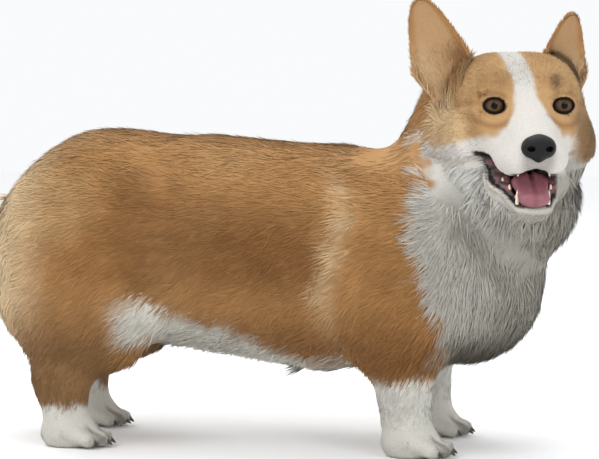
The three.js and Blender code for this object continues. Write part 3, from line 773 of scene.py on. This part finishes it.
COAT = painted("coat", 0.8, 60, 0.2, specular=0.1, sheen=0.03)
SKIN = painted("skin", 0.8, 700, 0.2, bump=0.6, specular=0.15)
NOSE = painted("nose_leather", 0.45, 1400, 0.35, bump=0.8, specular=0.22)
TONGUE = painted("tongue", 0.38, 900, 0.18, bump=0.5, specular=0.5)
EYE = painted("eye", 0.06, 900, 0.3, specular=0.12)
LID = painted("lid", 0.7, 900, 0.2, specular=0.12)
IVORY = painted("ivory", 0.3, 500, 0.08, specular=0.5)
HORN = painted("horn", 0.35, 600, 0.2, specular=0.5)


# Skin: the field drawn in by the coat's depth, with lids, eye sockets and the open mouth
SOCKET_RADIUS = EYE_RADIUS - 1
LID_RADII = (12.4, 12.6, 11.8)
LID_OPENING = (12, 9.8, 6.9)
LID_OPENING_AT = np.array([11.0, 0, 0])
LOWEST_SKIN = 0.4

sockets = [ellipsoid(c, (SOCKET_RADIUS,) * 3) for c in EYES.values()]
bulges = [ellipsoid(c, LID_RADII, HEAD_TURN) for c in EYES.values()]
openings = [
    ellipsoid(c + HEAD_TURN @ LID_OPENING_AT, LID_OPENING, HEAD_TURN) for c in EYES.values()
]
nose_pad = melt(
    5,
    skull_ball((NOSE_FORWARD, 0, -34), (9, 11, 10.5)),
    *skull_balls((NOSE_FORWARD - 1, 8, -35), (8, 6.5, 7.5)),
    skull_ball((NOSE_FORWARD - 1, 0, -41), (6.5, 4, 6)),
)
nostrils = skull_balls((NOSE_FORWARD + 9, 7.6, -35.5), (7, 3.4, 2.3))
tail = ellipsoid((-238, 0, 206), (14, 15, 21))
mouth_roof = skull_ball((16, 0, -60), (42, 16, 11))
mouth_floor = skull_ball((10, 0, -72), (40, 17, 12))
throat = skull_bones((-22, 34, -82), (-18, 12, -101), 12, 12, 1)
jaw_and_cheek = melt(15, dog, jaw, *throat)
flesh = melt(8, jaw_and_cheek, tail)


def skin_field(p):
    d = flesh(p) + coat_depth(regions(p))
    for bulge in bulges:
        d = np.minimum(d, bulge(p))
    for hollow in [*sockets, *openings, mouth_roof, mouth_floor]:
        d = np.maximum(d, -hollow(p))
    d = np.maximum(d, gape(p))
    return np.maximum(d, LOWEST_SKIN - p[:, 2])


LOW, HIGH = (-258, -170, -4), (312, 120, 372)
SKIN_STEP = 2.3
points, quads = extract(skin_field, LOW, HIGH, SKIN_STEP)
points = smoothed(points, quads, 1)


def place_object(name, data):
    made = bpy.data.objects.new(name, data)
    bpy.context.scene.collection.objects.link(made)
    return made


def make_mesh(name, points_mm, faces, colours, material):
    """A smooth piece from points in millimetres, with a colour at each of them."""
    mesh = bpy.data.meshes.new(name)
    world = to_world(np.asarray(points_mm, float))
    faces = np.asarray(faces)
    mesh.vertices.add(len(world))
    mesh.vertices.foreach_set("co", world.astype(np.float32).ravel())
    sides = faces.shape[1]
    mesh.loops.add(faces.size)
    mesh.loops.foreach_set("vertex_index", faces.astype(np.int32).ravel())
    mesh.polygons.add(len(faces))
    mesh.polygons.foreach_set("loop_start", np.arange(0, faces.size, sides, dtype=np.int32))
    mesh.update(calc_edges=True)
    mesh.polygons.foreach_set("use_smooth", np.ones(len(faces), bool))
    layer = mesh.color_attributes.new("Coat", "FLOAT_COLOR", "POINT")
    opaque = np.column_stack([colours, np.ones(len(colours))]).astype(np.float32)
    layer.data.foreach_set("color", opaque.ravel())
    mesh.materials.append(material)
    piece = place_object(name, mesh)
    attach(piece, "root")
    return piece


skin_regions = regions(points)
skin = make_mesh("skin", points, quads, marks_and_shade(points, skin_regions), SKIN)


def skin_uv(piece):
    """Unwraps the skin by its own shape."""
    bpy.ops.object.select_all(action="DESELECT")
    piece.select_set(True)
    bpy.context.view_layer.objects.active = piece
    piece.data.uv_layers.new(name="OFBake")
    bpy.ops.object.mode_set(mode="EDIT")
    bpy.ops.mesh.select_all(action="SELECT")
    bpy.ops.uv.smart_project(angle_limit=math.radians(66), island_margin=0.002)
    bpy.ops.object.mode_set(mode="OBJECT")


skin_uv(skin)


def surface_of(piece):
    """Quads as triangles: their corners, the points' smooth normals, the corners' unwrap places."""
    mesh = piece.data
    loops = np.empty(len(mesh.loops), np.int32)
    mesh.loops.foreach_get("vertex_index", loops)
    normals = np.empty(len(mesh.vertices) * 3, np.float32)
    mesh.vertices.foreach_get("normal", normals)
    normals = normals.reshape(-1, 3).astype(float)
    uv = np.empty(len(mesh.loops) * 2, np.float32)
    mesh.uv_layers["OFBake"].uv.foreach_get("vector", uv)
    uv = uv.reshape(-1, 4, 2)
    quad = loops.reshape(-1, 4)
    corners = np.concatenate([quad[:, [0, 1, 2]], quad[:, [0, 2, 3]]])
    corner_uv = np.concatenate([uv[:, [0, 1, 2]], uv[:, [0, 2, 3]]])
    return corners, normals, corner_uv


def scatter(piece, places, weight, amount):
    """Random roots over a surface, more of them where weight is larger."""
    corners, normals, uv = surface_of(piece)
    tri = places[corners]
    area = np.linalg.norm(np.cross(tri[:, 1] - tri[:, 0], tri[:, 2] - tri[:, 0]), axis=1) / 2
    chance = area * weight[corners].mean(1)
    pick = rng.choice(len(tri), amount, p=chance / chance.sum())
    a, b = rng.random(amount), rng.random(amount)
    over = a + b > 1
    a[over], b[over] = 1 - a[over], 1 - b[over]
    share = np.stack([1 - a - b, a, b], -1)[:, :, None]
    root = (tri[pick] * share).sum(1)
    normal = (normals[corners[pick]] * share).sum(1)
    normal /= np.linalg.norm(normal, axis=1)[:, None]
    return root, normal, (uv[pick] * share).sum(1)


def ring_quads(rings, size, closed=False):
    """Quads between rings of points that follow one another."""
    ring_at = np.arange(rings if closed else rings - 1)[:, None] * size
    after = (ring_at + size) % (rings * size)
    a = np.arange(size)
    b = (a + 1) % size
    return np.stack([ring_at + a, ring_at + b, after + b, after + a], -1).reshape(-1, 4)


def unit(a):
    return a / np.maximum(np.linalg.norm(a, axis=1), 1e-9)[:, None]


def directions(amount, *parts):
    """A direction for each of some points, from three parts that are numbers or arrays."""
    return np.stack([np.zeros(amount) + part for part in parts], -1)


SWAY = 0.34


def lie_at(p, r):
    """Which way the coat lies: back, more downward lower on the body, and by region."""
    count, v, side = len(p), r["v"], r["side"]
    down = np.clip((235 - p[:, 2]) / 130, 0.02, 1.1)
    outward = 0.55 * np.sign(side) * smooth(v, 4, 40)
    face_lie = directions(count, -1, outward, 0.15 - 0.9 * smooth(v, 34, 64)) @ HEAD_TURN.T
    right_ear, left_ear = (HEAD_TURN @ run for _, run in EAR_ROOTS)
    ways = {
        "rear": directions(count, -0.25, 0, -1),
        "belly": directions(count, -0.55, 0, -1),
        "ruff": directions(count, -0.35, -0.006 * p[:, 1], -1),
        "legs": directions(count, -0.12, 0, -1),
        "paws": directions(count, 1, 0, -0.35),
        "face": face_lie,
        "ear_root": np.where(side[:, None] < 0, right_ear, left_ear),
    }
    lie = directions(count, -1, 0.1 * np.sign(p[:, 1]), -down)
    for name, way in ways.items():
        lie = lie + (unit(way) - unit(lie)) * r[name][:, None]
    sway = np.stack([wobble(p, 13), wobble(p + 50, 13), wobble(p + 90, 11)], -1)
    return unit(lie + SWAY * sway * (1 - 0.7 * r["face"] - 0.5 * r["paws"])[:, None])


# Tufts, in millimetres and shares of their length or width
TUFT_FACES = np.array([[0, 1, 2], [3, 2, 1], [0, 3, 1], [0, 2, 3]])
# Painted shade at each tuft's root and painted light at its tip, one factor per corner
TUFT_ROOT_SHADE_TIP_LIGHT = np.array([0.9, 0.98, 0.98, 1.06])
PIECE_TUFTS = 45000
ROOT_SUNK = 0.8
MIDDLE_AT = 0.42
TIP_BEND = 0.35
RIDGE = 0.15
ASTRAY = 0.2
ASTRAY_FLATTENED = 0.75
LOWEST_HAIR = 0.3
TONE_LIMIT = 2.2
NORMAL_LEAN = 0.25
UNWRAP_PATCH = np.array([[-1, -1], [1, -1], [1, 1], [-1, 1]]) * 0.0015


def blades(root, normal, lie, length, width, lift):
    """Four corners for each tuft, a thin closed blade from a sunk root, and the way it runs."""
    along = unit(lie - (lie * normal).sum(1)[:, None] * normal)
    astray = rng.normal(0, ASTRAY, (len(root), 3))
    lifted = ASTRAY_FLATTENED * (astray * normal).sum(1)[:, None] * normal
    along = unit(along + astray - lifted)
    across = unit(np.cross(along, normal))
    rise = np.sin(lift)[:, None] * normal + np.cos(lift)[:, None] * along
    start = root - normal * ROOT_SUNK
    length, width = length[:, None], width[:, None]
    middle = start + rise * length * MIDDLE_AT
    half, ridge = across * width * 0.5, normal * width * RIDGE
    tip = start + unit(rise + along * TIP_BEND) * length
    corners = np.stack([start, middle + half + ridge, middle - half + ridge, tip], 1)
    corners[:, :, 2] = np.maximum(corners[:, :, 2], LOWEST_HAIR)
    return corners, along


def grow(
    name, root, normal, uv, lie, length, width, lift, colours, contrast=0.085, facing=None
):
    """Tufts of one coat, in pieces; they are lit by the skin's own normals or by facing."""
    amount = len(root)
    corners, along = blades(root, normal, lie, length, width, lift)
    uneven = np.clip(rng.normal(0, 1, amount), -TONE_LIMIT, TONE_LIMIT)
    tone = (1 + contrast * uneven)[:, None, None]
    # Painted shade at the roots, painted light at the tips
    tuft_colours = np.clip(colours[:, None, :] * TUFT_ROOT_SHADE_TIP_LIGHT[None, :, None] * tone, 0, 1)
    shown = unit((normal if facing is None else facing) + NORMAL_LEAN * along)
    for number, first in enumerate(range(0, amount, PIECE_TUFTS)):
        some = slice(first, min(first + PIECE_TUFTS, amount))
        count = some.stop - some.start
        faces = (np.arange(count)[:, None, None] * 4 + TUFT_FACES).reshape(-1, 3)
        places, paints = corners[some].reshape(-1, 3), tuft_colours[some].reshape(-1, 3)
        piece = make_mesh(f"{name}_{number:02d}", places, faces, paints, COAT)
        piece.data.normals_split_custom_set_from_vertices(np.repeat(shown[some], 4, 0).tolist())
        layer = piece.data.uv_layers.new(name="OFBake")
        spread = (uv[some][:, None, :] + UNWRAP_PATCH).reshape(-1, 2)
        layer.uv.foreach_set("vector", spread[faces.ravel()].astype(np.float32).ravel())


BODY_NODES = [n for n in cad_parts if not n.startswith(("eye", "nose", "tongue", "ear"))]
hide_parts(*BODY_NODES)

# Coat over the skin: none on lids, lips, nose and soles, and denser where the hair is short
COAT_TUFTS = 325000
WIDER = 1.0
MEAN_HAIR = 17
NOSE_CLEARANCE = 2.5
SOLE_HEIGHT = 1.5

mouth, lips = mouth_masks(skin_regions)
bare = np.maximum(mouth, lips)
for centre in EYES.values():
    edge, q = almond(points, centre, 11.2, 8.4)
    bare = np.maximum(bare, (edge < 1.2) * (q[:, 0] > -2) * (np.abs(q[:, 0]) < 20))
bare = np.maximum(bare, nose_pad(points) < NOSE_CLEARANCE)
bare = np.maximum(bare, points[:, 2] < SOLE_HEIGHT)
weight = (1 - np.clip(bare, 0, 1)) * (MEAN_HAIR / hair_length(skin_regions)) ** 1.15
weight = weight * (1 + 1.2 * skin_regions["face"] + 0.25 * skin_regions["ruff"])
root, normal, uv = scatter(skin, points, weight, COAT_TUFTS)
here = regions(root)
length = hair_length(here) * rng.uniform(0.75, 1.2, len(root))
width = np.clip(length * 0.064, 0.45, 1.4) * WIDER
lift = np.radians(mix_by(here, 5, rear=5, ruff=5, belly=8, legs=7, paws=8, face=8, muzzle=7))
lift = lift * rng.uniform(0.6, 1.35, len(root))
lie = lie_at(root, here)
contrast = 0.08 + 0.07 * here["face"] * (1 - here["muzzle"])

# Hair under the jaw is lit as if it faced forward, because fur there fills the crease
under_jaw = (1 - here["face"]) * below(jaw(root), 8, 26)
facing = unit(normal + 1.2 * under_jaw[:, None] * HEAD_TURN[:, 0])
coat_colours = marks_and_shade(root, here)
grow(
    "coat", root, normal, uv, lie, length, width, lift, coat_colours, contrast, facing
)


# Ears: cupped leaves, with hair on their backs and rims and longer hair inside
EAR_ROWS = 44
EAR_COLUMNS = 22
EAR_CUP = 13
EAR_TUFTS = 20000


def ear_leaf(foot, axis, front, across, half_width, rounding):
    """Rings of points up the ear, the inside first and then the back, and the quads between."""
    places = []
    for i in range(EAR_ROWS + 1):
        share = i / EAR_ROWS
        half = half_width * math.sqrt(max(1 - share**rounding, 0)) * (1 - 0.12 * share) + 0.4
        half *= 0.62 + 0.38 * float(smooth(share, 0, 0.3))
        cup = EAR_CUP * (1 - 0.55 * share) * math.sqrt(max(1 - share**4, 0))
        centre = foot + axis * share - front * 3 * math.sin(math.pi * share)
        for back in (0, 1):
            for j in range(EAR_COLUMNS):
                t = -1 + 2 * j / (EAR_COLUMNS - 1)
                if back:
                    t = -t
                thick = back * (0.9 + 2.0 * (1 - t * t) * (1 - 0.5 * share))
                places.append(centre + across * half * t - front * (cup * (1 - t * t) + thick))
    return np.array(places), ring_quads(EAR_ROWS + 1, 2 * EAR_COLUMNS)


def ear(name, base, tip, facing, wide, rounding):
    foot = on_head(*base)
    axis = on_head(*tip) - foot
    front = HEAD_TURN @ np.array(facing, float)
    front = front - axis * (front @ axis) / (axis @ axis)
    front /= np.linalg.norm(front)
    across = np.cross(axis / np.linalg.norm(axis), front)
    places, faces = ear_leaf(foot, axis, front, across, wide / 2, rounding)
    share = np.repeat(np.arange(EAR_ROWS + 1) / EAR_ROWS, 2 * EAR_COLUMNS)
    sheet = np.abs(np.linspace(-1, 1, EAR_COLUMNS))
    edge = np.tile(sheet, 2 * (EAR_ROWS + 1))
    inner = np.tile(np.repeat([1.0, 0.0], EAR_COLUMNS), EAR_ROWS + 1)
    towards_skull = ((places - foot) @ across) * np.sign((EYES_AT - foot) @ across) / (wide / 2)
    fold_shade = smooth(towards_skull, -0.1, 0.6) * below(edge, 0.8, 1.0) * below(share, 0.2, 0.62)
    pale = smooth(-towards_skull, 0.0, 0.5) * below(share, 0.3, 0.8)
    colours = np.tile(EAR_TAN, (len(places), 1))
    colours = paint(colours, EAR_INSIDE, inner * below(edge, 0.6, 0.95))
    # Painted shade: darker reddish brown in the fold of the ear's inner edge
    colours = paint(colours, EAR_FOLD_SHADE, 0.85 * inner * fold_shade)
    colours = paint(colours, EAR_PALE, 0.5 * inner * pale)
    piece = make_mesh(name, places, faces, colours, SKIN)
    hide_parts(name)
    skin_uv(piece)
    ear_weight = (share > 0.03) * (1 - 0.5 * smooth(edge, 0.86, 0.98))
    root, normal, uv = scatter(piece, places, ear_weight.astype(float), EAR_TUFTS)
    nearest = nearest_of(root, places)
    sideways = across * np.sign((root - foot) @ across)[:, None]
    on_rim = (edge[nearest] > 0.84) | (share[nearest] > 0.95)
    normal = np.where(on_rim[:, None], unit(front * 0.8 + 0.4 * sideways), normal)
    lie = unit(np.tile(axis / np.linalg.norm(axis), (EAR_TUFTS, 1)) + 0.2 * sideways)
    long_inside = inner[nearest] * below(share[nearest], 0.1, 0.7)
    length = (4.2 + 7 * long_inside) * rng.uniform(0.7, 1.2, EAR_TUFTS)
    width = np.clip(length * 0.13, 0.55, 1.3)
    lift = np.radians(7) * rng.uniform(0.5, 1.4, EAR_TUFTS)
    hair = f"{name}_hair"
    grow(hair, root, normal, uv, lie, length, width, lift, colours[nearest])


NEAREST_AT_ONCE = 1500


def nearest_of(places, among):
    """Index of the nearest of some points, by blocks."""
    out = np.empty(len(places), int)
    for first in range(0, len(places), NEAREST_AT_ONCE):
        some = slice(first, first + NEAREST_AT_ONCE)
        out[some] = ((places[some, None] - among) ** 2).sum(-1).argmin(1)
    return out


ear("ear_right", (-46, -56, 2), (-60, -83.5, 83), (0.92, -0.34, 0.1), 54, 1.95)
ear("ear_left", (-46, 43, 4), (-56, 52.8, 71), (0.85, 0.5, 0.1), 58, 1.25)


# Eyes: ball, brown iris and pupil, looking along the head; the colours go by angle from the gaze
BALL_RADIUS = EYE_RADIUS - 0.4
CORNEA_HEIGHT = 0.35
CORNEA_ANGLE = 0.45


def eye(name, centre, gaze):
    rows, columns = 40, 48
    gaze = HEAD_TURN @ np.array(gaze, float)
    gaze /= np.linalg.norm(gaze)
    side = np.cross(gaze, (0, 0, 1))
    side /= np.linalg.norm(side)
    over = np.cross(side, gaze)
    places, angles = [], []
    for i in range(rows + 1):
        angle = math.pi * (0.001 + 0.998 * i / rows)
        radius = BALL_RADIUS + CORNEA_HEIGHT * math.exp(-((angle / CORNEA_ANGLE) ** 2))
        for j in range(columns):
            turn = 2 * math.pi * j / columns
            out = side * math.cos(turn) + over * math.sin(turn)
            places.append(centre + radius * (gaze * math.cos(angle) + out * math.sin(angle)))
            angles.append(angle)
    faces = ring_quads(rows + 1, columns)[:, [0, 3, 2, 1]]
    angles = np.array(angles)
    height = (np.array(places) - centre)[:, 2]
    colours = np.tile(EYE_DARK, (len(angles), 1))
    colours = paint(colours, IRIS_EDGE, below(angles, 0.82, 0.94))
    colours = paint(colours, IRIS, below(angles, 0.42, 0.82))
    colours = paint(colours, IRIS_SHADE, 0.75 * smooth(height, 0.5, 6))
    colours = paint(colours, PUPIL, below(angles, 0.24, 0.34))
    piece = make_mesh(f"{name}_ball", np.array(places), faces, colours, EYE)
    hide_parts(name)


eye("eye_right", EYES["right"], (1, -0.05, 0.0))
eye("eye_left", EYES["left"], (1, 0.02, 0.0))


# Eyelid rims and lower lip: dark beads along the edges of the lids and of the mouth
def bead(name, path, radius, colour, material, closed=True):
    """A tube along a path, in millimetres."""
    path = np.array(path, float)
    count, sides = len(path), 8
    ahead = np.roll(path, -1, 0) - np.roll(path, 1, 0)
    if not closed:
        ahead[0], ahead[-1] = path[1] - path[0], path[-1] - path[-2]
    ahead = unit(ahead)
    over = unit(np.cross(ahead, HEAD_TURN[:, 0]))
    out = np.cross(over, ahead)
    turn = 2 * math.pi * np.arange(sides) / sides
    size = np.full(count, radius)
    if not closed:
        size = radius * np.sqrt(np.clip(1 - (2 * np.arange(count) / (count - 1) - 1) ** 6, 0.03, 1))
    along_over, along_out = np.cos(turn)[None, :, None], np.sin(turn)[None, :, None]
    circle = along_over * over[:, None] + along_out * out[:, None]
    places = (path[:, None] + circle * size[:, None, None]).reshape(-1, 3)
    faces = ring_quads(count, sides, closed)
    piece = make_mesh(name, places, faces, np.tile(colour, (len(places), 1)), material)


RIM_HALF_WIDTH = 9.0
RIM_HALF_HEIGHT = 6.6
RIM_DISTANCE = 11.3
RIM_RADIUS = 0.65


def eye_rim(centre, side):
    """The almond's edge, drawn out and down at the inner corner, on a ball round the eye."""
    path = []
    for turn in np.linspace(0, 2 * math.pi, 48, endpoint=False):
        inner = math.exp(-((math.cos(turn) * -side - 1) ** 2) * 14)
        across = (RIM_HALF_WIDTH + 2.4 * inner) * math.cos(turn)
        flatter = 1 - 0.15 * (math.sin(turn) < 0)
        up = RIM_HALF_HEIGHT * math.sin(turn) * flatter - 1.6 * inner
        forward = math.sqrt(max(RIM_DISTANCE**2 - across**2 - up**2, 1))
        path.append(centre + HEAD_TURN @ np.array([forward, across, up]))
    return path


for side, where in ((-1, "right"), (1, "left")):
    rim = eye_rim(EYES[where], side)
    bead(f"eye_rim_{where}", rim, RIM_RADIUS, LID_RIM, LID)


LIP_REACH = 80
LIP_SUNK = 0.9
LIP_RADIUS = 1.3


def lip_path(field, line, start, turns, rise):
    """Points on a form's surface at the height of a lip, fanned out from inside the mouth."""
    path = []
    for turn in turns:
        ahead = start
        direction = HEAD_TURN @ np.array([math.cos(turn), math.sin(turn), 0])
        for _ in range(3):
            origin = on_head(start, 0, float(line(ahead)) + rise)
            place = origin + ray_to_skin(field, origin, direction, LIP_REACH) * direction
            ahead = float(to_head(place[None])[0, 0])
        path.append(place - direction * LIP_SUNK)
    return path


lower_turns = np.radians(np.linspace(-91, 40, 40))
lower_path = lip_path(jaw_and_cheek, lower_lip, 3.0, lower_turns, 0.2)
bead("lower_lip", lower_path, LIP_RADIUS, LIP_EDGE, LID, closed=False)


# Nose pad and tongue
def solid_piece(name, field, centre, reach, step, colour_of, material, node):
    low, high = centre - reach, centre + reach
    place, quad = extract(field, low, high, step)
    place = smoothed(place, quad, 2)
    piece = make_mesh(name, place, quad, colour_of(place), material)
    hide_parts(node)


def nose_colours(p):
    # Painted light: the top of the nose pad lighter, where it catches the light from above
    top = smooth((p - on_head(NOSE_FORWARD, 0, -34)) @ HEAD_TURN[:, 2], 3, 9)
    return paint(np.tile(NOSE_BLACK, (len(p), 1)), NOSE_TOP_LIGHT, 0.7 * top)


solid_piece(
    "nose_pad", cut(nose_pad, *nostrils), on_head(NOSE_FORWARD, 0, -34), 18.0, 0.6,
    nose_colours, NOSE, "nose",
)


def tongue_field(p):
    strap = melt(
        6,
        skull_bone((-26, 0, -66), (22, 0, -67), 7.5, 7.5, 1.6),
        skull_bone((22, 0, -67), (44, 0, -79), 7.5, 7, 1.9),
    )
    groove = melt(
        2,
        skull_bone((-26, 0, -57.5), (22, 0, -58.5), 2.0, 2.0, 1),
        skull_bone((22, 0, -58.5), (48, 0, -71.5), 2.0, 2.0, 1),
    )
    return np.maximum(strap(p), -groove(p))


def tongue_colours(p):
    q = to_head(p)
    base = np.tile(TONGUE_PINK, (len(p), 1))
    # Painted shade along the middle groove and towards the back of the mouth
    base = paint(base, TONGUE_GROOVE_SHADE, 0.6 * below(np.abs(q[:, 1]), 0.5, 3.5))
    return paint(base, TONGUE_ROOT_SHADE, below(q[:, 0], -6, 30))


solid_piece(
    "tongue_strap", tongue_field, on_head(8, 0, -70), 44.0, 1.0, tongue_colours, TONGUE,
    "tongue",
)


# Teeth and claws
def spikes(name, rows, colour, material):
    """Blunt cones in one piece, each from a base, a point and a radius."""
    places, faces = [], []
    for base, point, radius in rows:
        base, point = np.array(base, float), np.array(point, float)
        axis = (point - base) / np.linalg.norm(point - base)
        side = np.cross(axis, (0.3, 0.9, 0.1))
        side /= np.linalg.norm(side)
        over = np.cross(axis, side)
        first = len(places)
        rings, count = 5, 10
        for i in range(rings):
            share = i / rings
            size = radius * math.sqrt(1 - share)
            for j in range(count):
                turn = 2 * math.pi * j / count
                out = side * math.cos(turn) + over * math.sin(turn)
                places.append(base + (point - base) * share + out * size)
        places.append(point)
        for i in range(rings - 1):
            for j in range(count):
                a, b = first + i * count + j, first + i * count + (j + 1) % count
                faces.append((a, b, b + count))
                faces.append((a, b + count, a + count))
        for j in range(count):
            last = first + (rings - 1) * count
            faces.append((last + j, last + (j + 1) % count, first + rings * count))
            if j > 1:
                faces.append((first, first + j, first + j - 1))
    make_mesh(name, places, np.array(faces), np.tile(colour, (len(places), 1)), material)


teeth = []
for side in (-1, 1):
    teeth.append((on_head(38, side * 13, -48), on_head(39, side * 13.5, -61), 2.6))
    teeth.append((on_head(36, side * 13, -88), on_head(38, side * 13.5, -71), 2.1))
    for u, v in ((31, 13), (24, 17.5), (17, 22)):
        line = float(lower_lip(u))
        teeth.append((on_head(u, side * v, line - 4), on_head(u, side * v, line + 2.6), 2.0))
for n in (-1.5, -0.5, 0.5, 1.5):
    teeth.append((on_head(39 - abs(n), n * 3, -94), on_head(41 - abs(n), n * 3.2, -84), 1.6))
spikes("teeth", teeth, TOOTH, IVORY)

claws = []
for side in (-1, 1):
    for x, long, spread in paw_sizes(side):
        for n in TOES:
            tip = x + toe_reach(long, n)
            y = side * STANCE + n * spread * TOE_SPACING
            claws.append(((tip - 9, y, 8), (tip - 2.5, y, 3), 2.2))
spikes("claws", claws, CLAW, HORN)


# Floor, lights and camera
FLOOR_HALF = 6
FLOOR_GREY = 0.96
LAMPS_AIM = Vector((0, 0, 0.2))


def floor():
    mesh = bpy.data.meshes.new("floor")
    corners = [(a * FLOOR_HALF, b * FLOOR_HALF, 0) for a, b in ((-1, -1), (1, -1), (1, 1), (-1, 1))]
    mesh.from_pydata(corners, [], [(0, 1, 2, 3)])
    piece = place_object("floor", mesh)
    made, shader = new_material("floor", 0.9, specular=0.1)
    shader.inputs["Base Color"].default_value = (FLOOR_GREY, FLOOR_GREY, FLOOR_GREY, 1)
    mesh.materials.append(made)


def lamp(name, place, size, power):
    data = bpy.data.lights.new(name, "AREA")
    data.shape, data.size, data.energy = "DISK", size, power
    lamp_object = place_object(name, data)
    lamp_object.location = place
    direction = LAMPS_AIM - Vector(place)
    lamp_object.rotation_euler = direction.to_track_quat("-Z", "Y").to_euler()


floor()
lamp("key", (-0.9, -1.7, 2.4), 1.8, 26)
lamp("fill", (2.0, -2.0, 1.4), 2.0, 2)
lamp("top", (0, 0.6, 2.8), 2.2, 18)
lamp("rim", (-1.6, 1.6, 1.6), 1.4, 12)
lamp("catch", (1.75, -1.9, 1.15), 0.3, 8)
world = bpy.data.worlds.new("studio")
bpy.context.scene.world = world
world.use_nodes = True
background = world.node_tree.nodes["Background"]
background.inputs["Color"].default_value = (0.98, 0.99, 1.0, 1)
background.inputs["Strength"].default_value = 0.97
bpy.context.scene.view_settings.view_transform = "Standard"

# Camera: 2.1 m away, 11.3 degrees in front of the dog's right side, looking 3.7 degrees down
CAMERA_AT = np.array([440.7, -2053.5, 328.6])
VIEW_TURN = math.radians(11.3)
VIEW_DOWN = math.radians(3.67)
SENSOR = 36
LENS = 138.8
camera_data = bpy.data.cameras.new("camera")
camera_data.sensor_width = SENSOR
camera_data.lens = LENS
camera_data.clip_start = 0.05
camera = place_object("camera", camera_data)
camera.location = to_world(CAMERA_AT)
camera.rotation_euler = (math.pi / 2 - VIEW_DOWN, 0, VIEW_TURN)
bpy.context.scene.camera = camera
